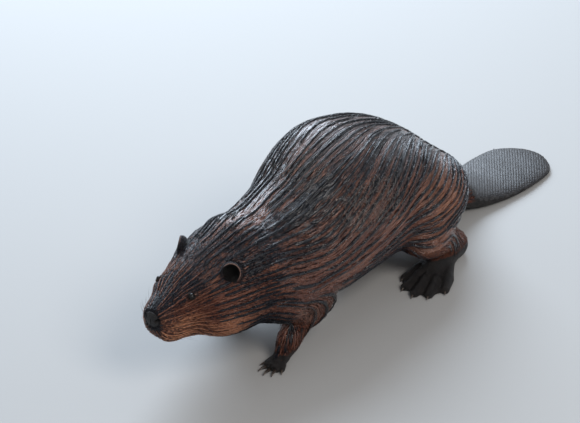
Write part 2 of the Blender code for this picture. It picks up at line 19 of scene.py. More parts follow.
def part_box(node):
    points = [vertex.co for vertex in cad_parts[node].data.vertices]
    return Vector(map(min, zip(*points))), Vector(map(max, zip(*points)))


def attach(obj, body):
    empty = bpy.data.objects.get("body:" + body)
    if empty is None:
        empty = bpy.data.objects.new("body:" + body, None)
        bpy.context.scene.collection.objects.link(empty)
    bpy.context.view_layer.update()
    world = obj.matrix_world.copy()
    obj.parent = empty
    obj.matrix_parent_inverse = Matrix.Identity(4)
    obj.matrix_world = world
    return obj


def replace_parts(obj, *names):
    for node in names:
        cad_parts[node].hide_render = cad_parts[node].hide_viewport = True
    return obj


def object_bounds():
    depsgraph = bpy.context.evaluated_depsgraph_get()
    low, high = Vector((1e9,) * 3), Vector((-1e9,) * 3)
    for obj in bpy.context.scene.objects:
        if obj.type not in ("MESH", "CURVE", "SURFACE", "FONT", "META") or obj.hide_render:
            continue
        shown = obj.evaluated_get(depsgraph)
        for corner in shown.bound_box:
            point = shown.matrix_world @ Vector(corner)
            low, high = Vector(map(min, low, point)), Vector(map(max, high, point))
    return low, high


SMALL = 1e-6
UP = np.array((0.0, 0.0, 1.0))
SEED = 7

# ---- the form's sizes, as in the solids

NAPE = (-0.190, 0.012, 0.178)     # the head's own origin
HEAD_TURN = (-6.0, -9.0)          # degrees: to its left, and up
EYE_RADIUS = 0.0056
EYE_DEPTH = 0.0030
EYE_PLACE = (0.130, 0.036, 0.031)            # forward, left and up from the nape
EAR_PLACE = (0.062, 0.058, 0.046)
EAR_FACES = (0.62, 0.72, 0.32)    # where the hollow of the left ear opens to
EAR_SIZE = (0.0135, 0.0156, 0.0166)          # radii of the cup: through it, across it and up it
EAR_WALL = 0.0030
EAR_MOUTH = 0.0050                # the cup is open from this far out of its middle
EAR_RIM = 0.0020
FORE_STRIDE = 0.020               # the left hand is this far ahead of the middle
HIND_STRIDE = 0.010               # the left foot is this far behind the middle
SINK = 0.0016                     # how far soles and tail are cut flat by the ground

# Lofts. A section: x, middle y, middle z, half width, height above the middle, depth below it.
HEAD_SECTIONS = (
    (0.190, 0.0, -0.002, 0.024, 0.019, 0.026),
    (0.180, 0.0, -0.002, 0.029, 0.022, 0.036),
    (0.165, 0.0, -0.001, 0.035, 0.027, 0.047),
    (0.145, 0.0, 0.001, 0.042, 0.033, 0.054),
    (0.118, 0.0, 0.004, 0.053, 0.039, 0.061),
    (0.090, 0.0, 0.005, 0.063, 0.043, 0.066),
    (0.055, 0.0, 0.004, 0.073, 0.048, 0.070),
    (0.010, 0.0, 0.003, 0.079, 0.052, 0.073),
    (-0.040, 0.0, 0.003, 0.082, 0.056, 0.076),
)
TRUNK_SECTIONS = (
    (-0.090, 0.014, 0.150, 0.050, 0.052, 0.045),
    (-0.150, 0.013, 0.155, 0.072, 0.070, 0.062),
    (-0.200, 0.013, 0.158, 0.083, 0.083, 0.080),
    (-0.260, 0.014, 0.160, 0.093, 0.096, 0.098),
    (-0.320, 0.016, 0.163, 0.103, 0.112, 0.112),
    (-0.370, 0.010, 0.165, 0.113, 0.137, 0.119),
    (-0.430, 0.003, 0.166, 0.121, 0.154, 0.120),
    (-0.500, 0.000, 0.163, 0.122, 0.145, 0.116),
    (-0.580, 0.000, 0.155, 0.116, 0.121, 0.105),
    (-0.650, 0.000, 0.142, 0.102, 0.082, 0.096),
    (-0.700, 0.000, 0.128, 0.083, 0.048, 0.076),
    (-0.745, 0.000, 0.114, 0.056, 0.024, 0.050),
)
TAIL_ROOT_SECTIONS = (
    (-0.600, 0.0, 0.130, 0.070, 0.060, 0.060),
    (-0.680, 0.0, 0.108, 0.062, 0.050, 0.054),
    (-0.740, 0.0, 0.080, 0.048, 0.038, 0.042),
    (-0.790, 0.0, 0.050, 0.039, 0.028, 0.032),
    (-0.830, 0.0, 0.030, 0.036, 0.019, 0.026),
)
TAIL_SECTIONS = (
    (-0.770, 0.0, 0.052, 0.034, 0.020, 0.026),
    (-0.820, 0.0, 0.024, 0.048, 0.017, 0.024),
    (-0.880, 0.0, 0.011, 0.063, 0.013, 0.016),
    (-0.950, 0.0, 0.008, 0.070, 0.010, 0.013),
    (-1.010, 0.0, 0.006, 0.066, 0.008, 0.011),
    (-1.060, 0.0, 0.005, 0.052, 0.007, 0.010),
)

# Swellings of the left half of the face, mirrored on the right one: place in the head's axes, and radii.
LIP = ((0.163, 0.016, -0.018), (0.022, 0.017, 0.019))
BROW = ((0.122, 0.030, 0.025), (0.026, 0.012, 0.012))
CHEEK = ((0.070, 0.044, -0.024), (0.055, 0.027, 0.038))

# How wide the joins between forms are rounded
FACE_BLEND, NECK_BLEND, TAIL_BLEND, RUMP_BLEND = 0.014, 0.060, 0.020, 0.050
ARMPIT_BLEND, GROIN_BLEND, ELBOW_BLEND, KNEE_BLEND = 0.040, 0.035, 0.020, 0.030
WRIST_BLEND, PALM_BLEND, HEEL_BLEND, INSTEP_BLEND, WEB_BLEND = 0.015, 0.008, 0.020, 0.010, 0.008
DIGIT_BLEND, EAR_BLEND = 0.004, 0.005

# Legs, on the left side; the right one mirrors them. (x, y, z) of each joint.
SHOULDER, ELBOW, WRIST, KNUCKLES = (
    (-0.258, 0.068, 0.118), (-0.300, 0.080, 0.086), (-0.262, 0.078, 0.036), (-0.243, 0.079, 0.014))
THIGH, THIGH_SIZE, THIGH_TURN = (-0.620, 0.078, 0.128), (0.098, 0.054, 0.074), (14.0, 22.0)
KNEE, HEEL = (-0.570, 0.100, 0.078), (-0.664, 0.092, 0.024)
TOE_OUT = 12.0                    # degrees that the hind foot turns outwards
FINGER_ANGLES = (-34.0, -16.0, 0.0, 15.0, 33.0)
FINGER_REACH = (0.026, 0.037, 0.041, 0.038, 0.029)
TOE_ANGLES = (-17.0, -9.0, 0.0, 9.0, 19.0)
TOE_REACH = (0.122, 0.146, 0.158, 0.152, 0.130)   # from the heel to the claw's base
FINGER_CLAW, TOE_CLAW = 0.014, 0.013
INSTEP = ((0.0, 0.0, 0.018), (0.085, 0.0, 0.010))       # its ends, from the heel
WEB = ((0.104, 0.002, 0.0035), (0.050, 0.042, 0.0050))  # place from the heel, and radii
KNUCKLE_AT, DIGIT_START_AT = 0.72, 0.25                 # shares of a digit's reach
KNUCKLE_LIFT, DIGIT_TAPER = 0.75, 0.9   # height and radius at a knuckle: shares of those at the start
HAND_OUT, HAND_HEIGHT, FOOT_HEIGHT = 4.0, 0.008, 0.012  # degrees outwards; heights where the digits start

# Radii of each limb, at its upper and its lower end
UPPER_ARM_RADII, FOREARM_RADII, PALM_RADII = (0.050, 0.036), (0.033, 0.019), (0.018, 0.0145)
SHANK_RADII, INSTEP_RADII = (0.038, 0.024), (0.021, 0.016)
FINGER_RADII, TOE_RADII = (0.0072, 0.0058), (0.0095, 0.0068)


# ---- forms: functions of points, negative inside

def length(vectors):
    return np.sqrt((vectors * vectors).sum(-1))


def unit(vectors):
    return vectors / (length(vectors)[..., None] + SMALL)


def step_up(x, low, high):
    """0 below low, 1 above high, and smooth between them."""
    t = np.clip((x - low) / (high - low), 0, 1)
    return t * t * (3 - 2 * t)


def step_down(x, low, high):
    return 1 - step_up(x, low, high)


def smooth_min(a, b, blend):
    """The union of two forms, rounded over a width of blend."""
    near = np.maximum(blend - np.abs(a - b), 0.0) / blend
    return np.minimum(a, b) - near * near * blend / 4


def tapered(p, start, end, radii):
    """A limb from start to end with round ends."""
    start, end = np.array(start), np.array(end)
    axis = end - start
    along = np.clip((p - start) @ axis / (axis @ axis), 0, 1)
    radius = radii[0] + (radii[1] - radii[0]) * along
    return length(p - start - along[..., None] * axis) - radius


def ellipsoid(p, radii):
    scaled = length(p / radii)
    return scaled * (scaled - 1) / (length(p / np.square(radii)) + SMALL)


def turn_matrix(yaw, pitch):
    """Columns are a turned form's forward, left and up: yaw to its left, then pitch up, in degrees."""
    yaw, pitch = math.radians(yaw), math.radians(pitch)
    forward = (math.cos(yaw) * math.cos(pitch), math.sin(yaw) * math.cos(pitch), math.sin(pitch))
    left = (-math.sin(yaw), math.cos(yaw), 0.0)
    return np.array([forward, left, np.cross(forward, left)]).T


def in_frame(p, origin, turn):
    """Points in the own axes of a form that stands at origin."""
    return (p - np.array(origin)) @ turn_matrix(*turn)


def in_head(p):
    return in_frame(p, NAPE, HEAD_TURN)


def both_as_left(q):
    """Points with those on the right moved to their mirrored places on the left."""
    return np.stack([q[..., 0], np.abs(q[..., 1]), q[..., 2]], -1)


def from_head(places):
    """Places in the head's own axes, in the whole animal's."""
    return np.array(NAPE) + np.array(places) @ turn_matrix(*HEAD_TURN).T


class Loft:
    """Superelliptic sections along x with a smooth curve through them and elliptical ends."""

    STEPS = 200
    ABOVE, BELOW = 2.12, 2.4      # powers of the sections' upper and lower halves: 2 is an ellipse
    CORE = 0.05                   # the share of a section in its middle where the form is level

    def __init__(self, sections, low_cap, high_cap):
        rows = np.array(sorted(sections))
        at = rows[:, 0]
        slope = np.gradient(rows, at, axis=0)
        self.x = np.linspace(at[0], at[-1], self.STEPS)
        i = np.clip(np.searchsorted(at, self.x, side="right") - 1, 0, len(at) - 2)
        span = (at[i + 1] - at[i])[:, None]
        t = (self.x - at[i])[:, None] / span
        start = (2 * t ** 3 - 3 * t ** 2 + 1) * rows[i] + (t ** 3 - 2 * t ** 2 + t) * span * slope[i]
        end = (3 * t ** 2 - 2 * t ** 3) * rows[i + 1] + (t ** 3 - t ** 2) * span * slope[i + 1]
        self.curves = (start + end).T[1:]
        self.low_cap, self.high_cap = low_cap, high_cap

    def section(self, x):
        """Middle y, middle z, half width, height and depth of the sections at x."""
        return [np.interp(x, self.x, curve) for curve in self.curves]

    def __call__(self, p):
        x = p[..., 0]
        y_mid, z_mid, wide, up, down = self.section(x)
        y, z = np.abs(p[..., 1] - y_mid), p[..., 2] - z_mid
        tall = np.where(z > 0, up, down)
        power = np.where(z > 0, self.ABOVE, self.BELOW)
        across = ((y / wide) ** power + (np.abs(z) / tall) ** power) ** (1 / power)
        past_low = np.maximum(self.x[0] + self.low_cap - x, 0)
        past_high = np.maximum(x - self.x[-1] + self.high_cap, 0)
        ratio = np.sqrt(across ** 2 + (past_low / self.low_cap + past_high / self.high_cap) ** 2) + SMALL
        reach = np.sqrt(y ** 2 + z ** 2 + (past_low + past_high) ** 2)
        return np.where(ratio < self.CORE, -np.minimum(wide, tall), reach * (1 - 1 / ratio))


HEAD = Loft(HEAD_SECTIONS, 0.040, 0.012)
TRUNK = Loft(TRUNK_SECTIONS, 0.035, 0.050)
TAIL_ROOT = Loft(TAIL_ROOT_SECTIONS, 0.020, 0.030)
TAIL = Loft(TAIL_SECTIONS, 0.055, 0.020)

# The stretches of x, and the boxes round the left legs, outside which these forms change nothing
HEAD_FROM, TAIL_ROOT_TO, TAIL_TO, TRUNK_FROM = -0.315, -0.530, -0.720, -0.840
FORELEG_BOX = ((-0.380, 0.000, -0.020), (-0.130, 0.180, 0.220))
HINDLEG_BOX = ((-0.780, 0.000, -0.020), (-0.420, 0.200, 0.260))


def joined(form, p, keep, other, blend):
    """The union of a form's values with another form, which only reaches the points that keep picks."""
    form = form.copy()
    form[keep] = smooth_min(form[keep], other(p[keep]), blend)
    return form


def within(p, box):
    return ((p > box[0]) & (p < box[1])).all(-1)


def head_form(p):
    """The head, with its lips, brows and cheeks."""
    q = in_head(p)
    form = HEAD(q)
    for place, radii in (LIP, BROW, CHEEK):
        form = smooth_min(form, ellipsoid(both_as_left(q) - np.array(place), radii), FACE_BLEND)
    return form


def torso_form(p):
    """Head, neck, trunk and tail."""
    x = p[:, 0]
    form = joined(np.full(len(p), 1.0), p, x > TRUNK_FROM, TRUNK, SMALL)
    form = joined(form, p, x > HEAD_FROM, head_form, NECK_BLEND)
    tail = joined(np.full(len(p), 1.0), p, x < TAIL_ROOT_TO, TAIL_ROOT, SMALL)
    tail = joined(tail, p, x < TAIL_TO, TAIL, TAIL_BLEND)
    return smooth_min(form, tail, RUMP_BLEND)


def mirrored(p, side):
    """Points for the left leg's forms (side 1), or the right one's (side -1)."""
    return np.stack([p[..., 0], p[..., 1] * side, p[..., 2]], -1)


def moved(place, forward):
    return (place[0] + forward, place[1], place[2])


def digits(root, facing, angles, reaches, radii):
    """For each digit that spreads from root: where it starts, its knuckle, its end and the way it points."""
    root, lift = np.array((root[0], root[1], 0.0)), root[2] * UP
    for angle, reach in zip(angles, reaches):
        way = turn_matrix(facing + angle, 0.0)[:, 0]
        start = root + lift + way * reach * DIGIT_START_AT
        knuckle = root + lift * KNUCKLE_LIFT + way * reach * KNUCKLE_AT
        yield start, knuckle, root + way * reach + (radii[1] - SINK) * UP, way


def fingers(stride):
    palm = moved(KNUCKLES, stride)
    return digits((palm[0], palm[1], HAND_HEIGHT), HAND_OUT, FINGER_ANGLES, FINGER_REACH, FINGER_RADII)


def toes():
    """The toes in the foot's own axes, from its heel."""
    return digits((0.0, 0.0, FOOT_HEIGHT), 0.0, TOE_ANGLES, TOE_REACH, TOE_RADII)


def fan(p, spread, radii):
    """A hand's or a foot's digits, each bent at its knuckle."""
    form = np.full(p.shape[:-1], 1.0)
    thick, bent, thin = radii[0], radii[0] * DIGIT_TAPER, radii[1]
    for start, knuckle, end, _ in spread:
        digit = smooth_min(tapered(p, start, knuckle, (thick, bent)),
                           tapered(p, knuckle, end, (bent, thin)), DIGIT_BLEND)
        form = smooth_min(form, digit, DIGIT_BLEND)
    return form


def foreleg_form(q, stride):
    elbow, wrist, palm = moved(ELBOW, stride / 2), moved(WRIST, stride), moved(KNUCKLES, stride)
    arm = tapered(q, moved(SHOULDER, stride / 4), elbow, UPPER_ARM_RADII)
    hand = smooth_min(tapered(q, elbow, wrist, FOREARM_RADII),
                      tapered(q, wrist, palm, PALM_RADII), WRIST_BLEND)
    hand = smooth_min(hand, fan(q, fingers(stride), FINGER_RADII), PALM_BLEND)
    return smooth_min(arm, hand, ELBOW_BLEND)


def hindleg_form(q, stride):
    heel = moved(HEEL, stride)
    shank = tapered(q, moved(KNEE, stride), heel, SHANK_RADII)
    local = in_frame(q, (heel[0], heel[1], 0.0), (TOE_OUT, 0.0))
    foot = smooth_min(tapered(local, *INSTEP, INSTEP_RADII), fan(local, toes(), TOE_RADII), INSTEP_BLEND)
    foot = smooth_min(foot, ellipsoid(local - np.array(WEB[0]), WEB[1]), WEB_BLEND)
    thigh = ellipsoid(in_frame(q, moved(THIGH, stride), THIGH_TURN), THIGH_SIZE)
    return smooth_min(thigh, smooth_min(shank, foot, HEEL_BLEND), KNEE_BLEND)


def ear_axes():
    """Columns: out of the left ear's hollow, across the ear and up it, in the head's own axes."""
    out = np.array(EAR_FACES) / math.hypot(*EAR_FACES)
    across = np.cross(UP, out)
    across /= math.hypot(*across)
    return np.array([out, across, np.cross(out, across)]).T


def in_ear(p, side):
    return (mirrored(in_head(p), side) - np.array(EAR_PLACE)) @ ear_axes()


def ear_form(p):
    """Both ears, with their hollows still filled up to the rim."""
    forms = []
    for side in (1, -1):
        q = in_ear(p, side)
        cup = ellipsoid(q, np.array(EAR_SIZE) + EAR_WALL / 2)
        forms.append(-smooth_min(-cup, EAR_MOUTH - q[..., 0], EAR_RIM))
    return np.minimum(*forms)


def animal_form(p):
    """The whole animal, out to the tips of its coat. The claws are left out."""
    form = torso_form(p)
    for side in (1, -1):
        q = mirrored(p, side)
        form = joined(form, p, within(q, FORELEG_BOX),
                      lambda s: foreleg_form(mirrored(s, side), FORE_STRIDE * side), ARMPIT_BLEND)
        form = joined(form, p, within(q, HINDLEG_BOX),
                      lambda s: hindleg_form(mirrored(s, side), -HIND_STRIDE * side), GROIN_BLEND)
    form = joined(form, p, p[:, 0] > NAPE[0], ear_form, EAR_BLEND)
    return np.maximum(form, -p[:, 2])


# ---- the field: the form's values on a grid

CELL = 0.003
COARSE = 4                        # the first grid has one point for so many of the last one, each way
BAND = 0.010                      # the values are exact this far from the surface
ROOM = 0.015                      # round the solids' box


class Field:
    """A form's values on a grid, exact near its surface, and read between the grid's points."""

    def __init__(self, form, low, high):
        self.low = np.array(low)
        counts = np.ceil((np.array(high) - low) / CELL / COARSE).astype(int)
        value = form(self.places(np.indices(counts).reshape(3, -1).T, COARSE)).reshape(counts)
        step = COARSE
        while step > 1:
            step //= 2
            value = value.repeat(2, 0).repeat(2, 1).repeat(2, 2)
            near = np.argwhere(np.abs(value) < BAND + 2 * step * CELL)
            value[tuple(near.T)] = form(self.places(near, step))
        self.value = value
        self.strides = np.array((value.shape[1] * value.shape[2], value.shape[2], 1))

    def places(self, index, step=1):
        return self.low + index * (step * CELL)

    def read(self, p):
        """The form's value and slope at each point."""
        at = (p - self.low) / CELL
        base = np.clip(np.floor(at).astype(int), 0, np.array(self.value.shape) - 2)
        t = np.clip(at - base, 0, 1)
        first = base @ self.strides
        flat = self.value.ravel()
        corner = {step: flat[first + np.array(step) @ self.strides]
                  for step in itertools.product((0, 1), repeat=3)}
        value, slope = 0.0, np.zeros(p.shape)
        for step, number in corner.items():
            weights = [t[..., i] if step[i] else 1 - t[..., i] for i in range(3)]
            value = value + number * weights[0] * weights[1] * weights[2]
            for i in range(3):
                j, k = other_axes(i)
                slope[..., i] += (2 * step[i] - 1) * number * weights[j] * weights[k] / CELL
        return value, slope

    def at_height(self, p, height):
        """The points moved to this height from the form's surface, and the way out of it there."""
        value, slope = self.read(p)
        out = unit(slope)
        return p + (height - value)[:, None] * out, out


# ---- the skin's mesh

def axis_crossings(value, axis):
    """Along one axis: which grid edges cross the surface, which start inside it, and how far they cross."""
    first = np.moveaxis(np.moveaxis(value, axis, 0)[:-1], 0, axis)
    second = np.moveaxis(np.moveaxis(value, axis, 0)[1:], 0, axis)
    crosses = (first < 0) != (second < 0)
    along = np.where(crosses, first / np.where(crosses, first - second, 1), 0)
    return crosses, first < 0, along


def other_axes(axis):
    return (other for other in range(3) if other != axis)


def cell_places(crossings, shape):
    """Which cells hold a piece of the surface, and the mean of its crossings in each of them."""
    place, hits = np.zeros(shape + (3,), np.float32), np.zeros(shape, np.int8)
    for axis, (crosses, _, along) in enumerate(crossings):
        a, b = other_axes(axis)
        for step_a, step_b in itertools.product((0, 1), repeat=2):
            part = [slice(None)] * 3
            part[a] = slice(step_a, step_a + shape[a])
            part[b] = slice(step_b, step_b + shape[b])
            hit = crosses[tuple(part)]
            hits += hit
            place[..., axis] += along[tuple(part)]
            place[..., a] += hit * step_a
            place[..., b] += hit * step_b
    used = hits > 0
    return used, place[used] / hits[used][:, None]


def crossing_faces(number, axis, crosses, inside):
    """One four-sided face round each grid edge that crosses the surface."""
    a, b = other_axes(axis)
    edge = np.argwhere(crosses)
    ring = []
    for step_a, step_b in ((1, 1), (0, 1), (0, 0), (1, 0)):
        at = edge.copy()
        at[:, a] -= step_a
        at[:, b] -= step_b
        ring.append(number[tuple(at.T)])
    ring = np.stack(ring, 1)
    forwards = inside[tuple(edge.T)] != (axis == 1)
    return np.where(forwards[:, None], ring, ring[:, ::-1])


def net(value, low):
    """Points and triangles of the surface where a grid's values pass through zero."""
    crossings = [axis_crossings(value, axis) for axis in range(3)]
    used, place = cell_places(crossings, tuple(n - 1 for n in value.shape))
    number = np.full(used.shape, -1)
    number[used] = np.arange(used.sum())
    faces = np.concatenate([crossing_faces(number, axis, *crossings[axis][:2]) for axis in range(3)])
    points = low + CELL * (np.argwhere(used) + place)
    return points, np.concatenate([faces[:, [0, 1, 2]], faces[:, [0, 2, 3]]])


def refined(points, triangles, chosen):
    """The mesh with the chosen triangles split in four, and those beside them split so that no edge opens."""
    ends = np.sort(triangles[:, [[0, 1], [1, 2], [2, 0]]], -1)
    keys = ends[..., 0] * len(points) + ends[..., 1]
    split = np.unique(keys[chosen])
    at = np.minimum(np.searchsorted(split, keys), len(split) - 1)
    cut = split[at] == keys
    middle = len(points) + at
    points = np.concatenate([points, (points[split // len(points)] + points[split % len(points)]) / 2])
    parts = [triangles[cut.sum(1) == 0]]
    for turn in range(3):
        a, b, c = (triangles[:, (turn + i) % 3] for i in range(3))
        ab, bc, ca = (middle[:, (turn + i) % 3] for i in range(3))
        cut_ab, cut_bc, cut_ca = (cut[:, (turn + i) % 3] for i in range(3))
        one, two = cut_ab & ~cut_bc & ~cut_ca, ~cut_ab & cut_bc & cut_ca
        parts += [np.stack(corners, 1)[one] for corners in ((a, ab, c), (ab, b, c))]
        parts += [np.stack(corners, 1)[two] for corners in ((a, b, bc), (a, bc, ca), (ca, bc, c))]
    every = cut.all(1)
    a, b, c = triangles.T
    ab, bc, ca = middle.T
    quarters = ((a, ab, ca), (ab, b, bc), (ca, bc, c), (ab, bc, ca))
    parts += [np.stack(corners, 1)[every] for corners in quarters]
    return points, np.concatenate(parts)


PROBE, LEAST_STEEP = 0.0004, 0.25  # how far apart slopes are measured, and the least that a step is made for


def settled(form, points):
    """The points moved along the form's slope onto its surface."""
    value = form(points)
    slope = np.stack([(form(points + PROBE * axis) - value) / PROBE for axis in np.eye(3)], -1)
    steep = np.maximum((slope * slope).sum(-1), LEAST_STEEP)
    return points - (value / steep)[:, None] * slope


def corner_normals(points, triangles):
    """The mesh's normal at each point."""
    a, b, c = (points[triangles[:, i]] for i in range(3))
    face = np.cross(b - a, c - a)
    normals = np.zeros(points.shape)
    for axis in range(3):
        normals[:, axis] = sum(np.bincount(triangles[:, i], face[:, axis], len(points)) for i in range(3))
    return unit(normals)


# How deep the skin lies under the tips of the coat: on the body, on the ears, on bare skin, and on the head,
# each depth with the stretch ahead of the nape over which it comes in
BODY_COAT, EAR_COAT, FOOT_COAT = 0.0060, 0.0009, 0.0004
HEAD_COATS = ((0.0050, -0.080, 0.020), (0.0026, 0.010, 0.110), (0.0016, 0.120, 0.170))
EAR_COAT_REACH = (0.0150, 0.0300)       # how far from an ear's middle its coat gives way to the head's
LEG_COAT_FROM, ARM_COAT_TO, SHANK_COAT_TO = 0.012, 0.045, 0.070    # heights over which it gets its full depth
LEGS_BEHIND, BETWEEN_LEGS = -0.190, -0.40                          # places along the body
TAIL_COAT = (-0.812, -0.775)            # the coat ends over this stretch

NOSE_PAD = ((0.1905, 0.0, 0.006), (0.012, 0.0168, 0.0128))    # place in the head's axes, and radii
PAD_EDGE = (0.92, 1.08)                 # shares of its radii over which bare skin turns to fur


def coat_depth(p):
    """How deep the skin lies under the tips of the coat at each point."""
    ahead, before = in_head(p)[:, 0], BODY_COAT
    depth = np.full(len(p), BODY_COAT)
    for coat, low, high in HEAD_COATS:
        depth += (coat - before) * step_up(ahead, low, high)
        before = coat
    depth *= 1 - nose_pad(p)
    depth += (EAR_COAT - depth) * step_down(ear_reach(p), *EAR_COAT_REACH)
    full = np.where(p[:, 0] > BETWEEN_LEGS, ARM_COAT_TO, SHANK_COAT_TO)
    low = np.maximum(FOOT_COAT, depth * step_up(p[:, 2], LEG_COAT_FROM, full))
    depth = np.where(p[:, 0] < LEGS_BEHIND, low, depth)
    return depth + (FOOT_COAT - depth) * step_down(p[:, 0], *TAIL_COAT)


def nose_pad(p):
    """1 on the bare pad of the nose, 0 off it."""
    reach = length((in_head(p) - np.array(NOSE_PAD[0])) / NOSE_PAD[1])
    return step_down(reach, *PAD_EDGE)


# Where the skin's mesh is finer: places ahead on the head or along the body, heights, and distances from the
# middles of ears and eyes
FINE_FACE, FINE_BELOW, FINE_TAIL, FINE_EAR = 0.105, 0.045, -0.720, 0.026
FINEST_SNOUT, FINEST_LIPS, FINEST_EAR, FINEST_EYE, LID_ZONE = 0.168, 0.120, 0.022, 0.014, 0.0085
LIPS_HEIGHT, LIPS_BAND = -0.034, 0.008


def skin_form(p):
    return animal_form(p) + coat_depth(p)


def skin_mesh(field):
    """The skin: coarse on the trunk, finer on face and feet, and finest round eyes, ears, nose and lips."""
    index = np.argwhere(np.abs(field.value) < BAND)
    value = field.value.copy()
    value[tuple(index.T)] += coat_depth(field.places(index))
    points, triangles = net(value, field.low)
    points = settled(skin_form, points)
    for fine in (fine_places, finest_places, lid_places):
        points, triangles = refined(points, triangles, fine(points[triangles].mean(1)))
        chosen = fine(points)
        points[chosen] = settled(skin_form, points[chosen])
    points[:, 2] = np.maximum(points[:, 2], 0)
    return points, triangles


def fine_places(p):
    feet = (p[:, 2] < FINE_BELOW) & (p[:, 0] > FINE_TAIL)
    return (in_head(p)[:, 0] > FINE_FACE) | feet | (ear_reach(p) < FINE_EAR)


def finest_places(p):
    ahead, _, up = in_head(p).T
    lips = (ahead > FINEST_LIPS) & (np.abs(up - LIPS_HEIGHT) < LIPS_BAND)
    return (ahead > FINEST_SNOUT) | lips | (ear_reach(p) < FINEST_EAR) | (eye_reach(p) < FINEST_EYE)


def lid_places(p):
    return eye_reach(p) < LID_ZONE


def eye_middle(side):
    """The middle of the eyeball, a little under the coat."""
    forward, left, up = EYE_PLACE
    p = from_head((forward, left * side, up))[None]
    for _ in range(6):
        p = settled(lambda s: head_form(s) + EYE_DEPTH, p)
    return p[0]


def eye_reach(p):
    """How far each point is from the middle of the nearer eye."""
    return np.minimum(*(length(p - eye_middle(side)) for side in (1, -1)))


def ear_reach(p):
    """How far each point is from the middle of the nearer ear's cup."""
    return np.minimum(*(length(in_ear(p, side)) for side in (1, -1)))


# ---- the skin's folds

PROBE_EYE = 0.001                 # how far apart the head's slope is measured at an eye
LID_THICK, LID_BLEND, LID_REACH = 0.0010, 0.0050, 0.0145
LID_FALL, LID_BEHIND = 3.0, -0.004            # the lid's slope past the ball, and how far back it reaches
LID_EDGE, UNDER_LIDS = (0.90, 1.12), 0.0012   # shares of the opening; how deep in the ball the skin is there
EYE_OPENING = (0.0055, 0.0050)    # half its width along the head and half its height
EYE_CORNER = ((-0.0052, -0.0005, 0.0), (-0.0088, -0.0020, 0.0))   # a pale line behind it, in its own axes
HOLLOW_EDGE, HOLLOW_DEPTH = 0.91, 0.0135     # of the ear: a share of its radii, and from the rim down
HOLLOW_POWER, HOLLOW_OUT = 5, 0.010          # how flat its floor is, and how far outside it skin is drawn in
NOSTRIL = ((0.1925, 0.0080, 0.0045), (0.1850, 0.0160, 0.0095))   # the left slit's ends, in the head's axes
NOSTRIL_FACES = (0.62, 0.76, 0.20)
NOSTRIL_DEPTH, NOSTRIL_EDGE, NOSTRIL_REACH = 0.0058, 0.0008, 0.0032
MOUTH_DEPTH, MOUTH_WIDTH = 0.0024, 0.0018
MOUTH_ENDS, MOUTH_HEIGHTS, MOUTH_FADE = (0.132, 0.190), (-0.0300, -0.0275), 0.012
CLEFT_DEPTH, CLEFT_WIDTH, CLEFT_TO, CLEFT_AHEAD = 0.0014, 0.0015, -0.0275, 0.170


def segment_distance(p, ends):
    return tapered(p, *ends, (0.0, 0.0))


def eye_axes(side):
    """Columns: towards the nose, up, and out of the head at the eye."""
    middle = eye_middle(side)[None]
    slope = np.stack([head_form(middle + PROBE_EYE * axis) - head_form(middle) for axis in np.eye(3)], -1)
    out = unit(slope)[0]
    ahead = turn_matrix(*HEAD_TURN)[:, 0]
    ahead = unit(ahead - (ahead @ out) * out)
    up = np.cross(out, ahead)
    return np.array([ahead, up * np.sign(up[2]), out]).T


def eyelids(points, side):
    """Raises the skin over the ball, and opens it between the lids."""
    axes = eye_axes(side)
    local = (points - eye_middle(side)) @ axes
    ahead, up, out = local.T
    reach = np.hypot(ahead, up)
    around = EYE_RADIUS + LID_THICK
    lid = np.sqrt(np.maximum(around ** 2 - reach ** 2, 0)) - LID_FALL * np.maximum(reach - around, 0)
    lid = -smooth_min(-lid, -out, LID_BLEND)
    under = np.sqrt(np.maximum(EYE_RADIUS ** 2 - reach ** 2, 0)) - UNDER_LIDS
    open_share = np.hypot(ahead / EYE_OPENING[0], up / EYE_OPENING[1])
    raised = under + (lid - under) * step_up(open_share, *LID_EDGE)
    near = (reach < LID_REACH) & (out > LID_BEHIND)
    local[near, 2] = raised[near]
    points[near] = (eye_middle(side) + local @ axes.T)[near]


def ear_hollow(points, side):
    q = in_ear(points, side)
    reach = np.hypot(q[:, 1] / EAR_SIZE[1], q[:, 2] / EAR_SIZE[2]) / HOLLOW_EDGE
    floor = EAR_MOUTH - EAR_COAT - HOLLOW_DEPTH * (1 - np.clip(reach, 0, 1) ** HOLLOW_POWER)
    near = (reach < 1) & (q[:, 0] > floor) & (q[:, 0] < EAR_MOUTH + HOLLOW_OUT)
    out = turn_matrix(*HEAD_TURN) @ (ear_axes()[:, 0] * np.array((1, side, 1)))
    points[near] += ((floor - q[:, 0])[:, None] * out)[near]


def nostrils(points):
    q = in_head(points)
    away = segment_distance(both_as_left(q), NOSTRIL)
    depth = NOSTRIL_DEPTH * step_down(away, NOSTRIL_EDGE, NOSTRIL_REACH)
    faces = np.array(NOSTRIL_FACES) / math.hypot(*NOSTRIL_FACES)
    ways = np.sign(q[:, 1:2]) * np.array((0, faces[1], 0)) + np.array((faces[0], 0, faces[2]))
    points -= depth[:, None] * (ways @ turn_matrix(*HEAD_TURN).T)


def lips(points, normals):
    """The line of the closed mouth, and the cleft from it up to the nose."""
    ahead, aside, up = in_head(points).T
    height = np.interp(ahead, MOUTH_ENDS, MOUTH_HEIGHTS)
    along = step_up(ahead, MOUTH_ENDS[0], MOUTH_ENDS[0] + MOUTH_FADE)
    mouth = MOUTH_DEPTH * along * step_down(np.abs(up - height), 0, MOUTH_WIDTH)
    low = (up > CLEFT_TO) & (up < NOSE_PAD[0][2]) & (ahead > CLEFT_AHEAD)
    cleft = CLEFT_DEPTH * low * step_down(np.abs(aside), 0, CLEFT_WIDTH)
    points -= np.maximum(mouth, cleft)[:, None] * normals


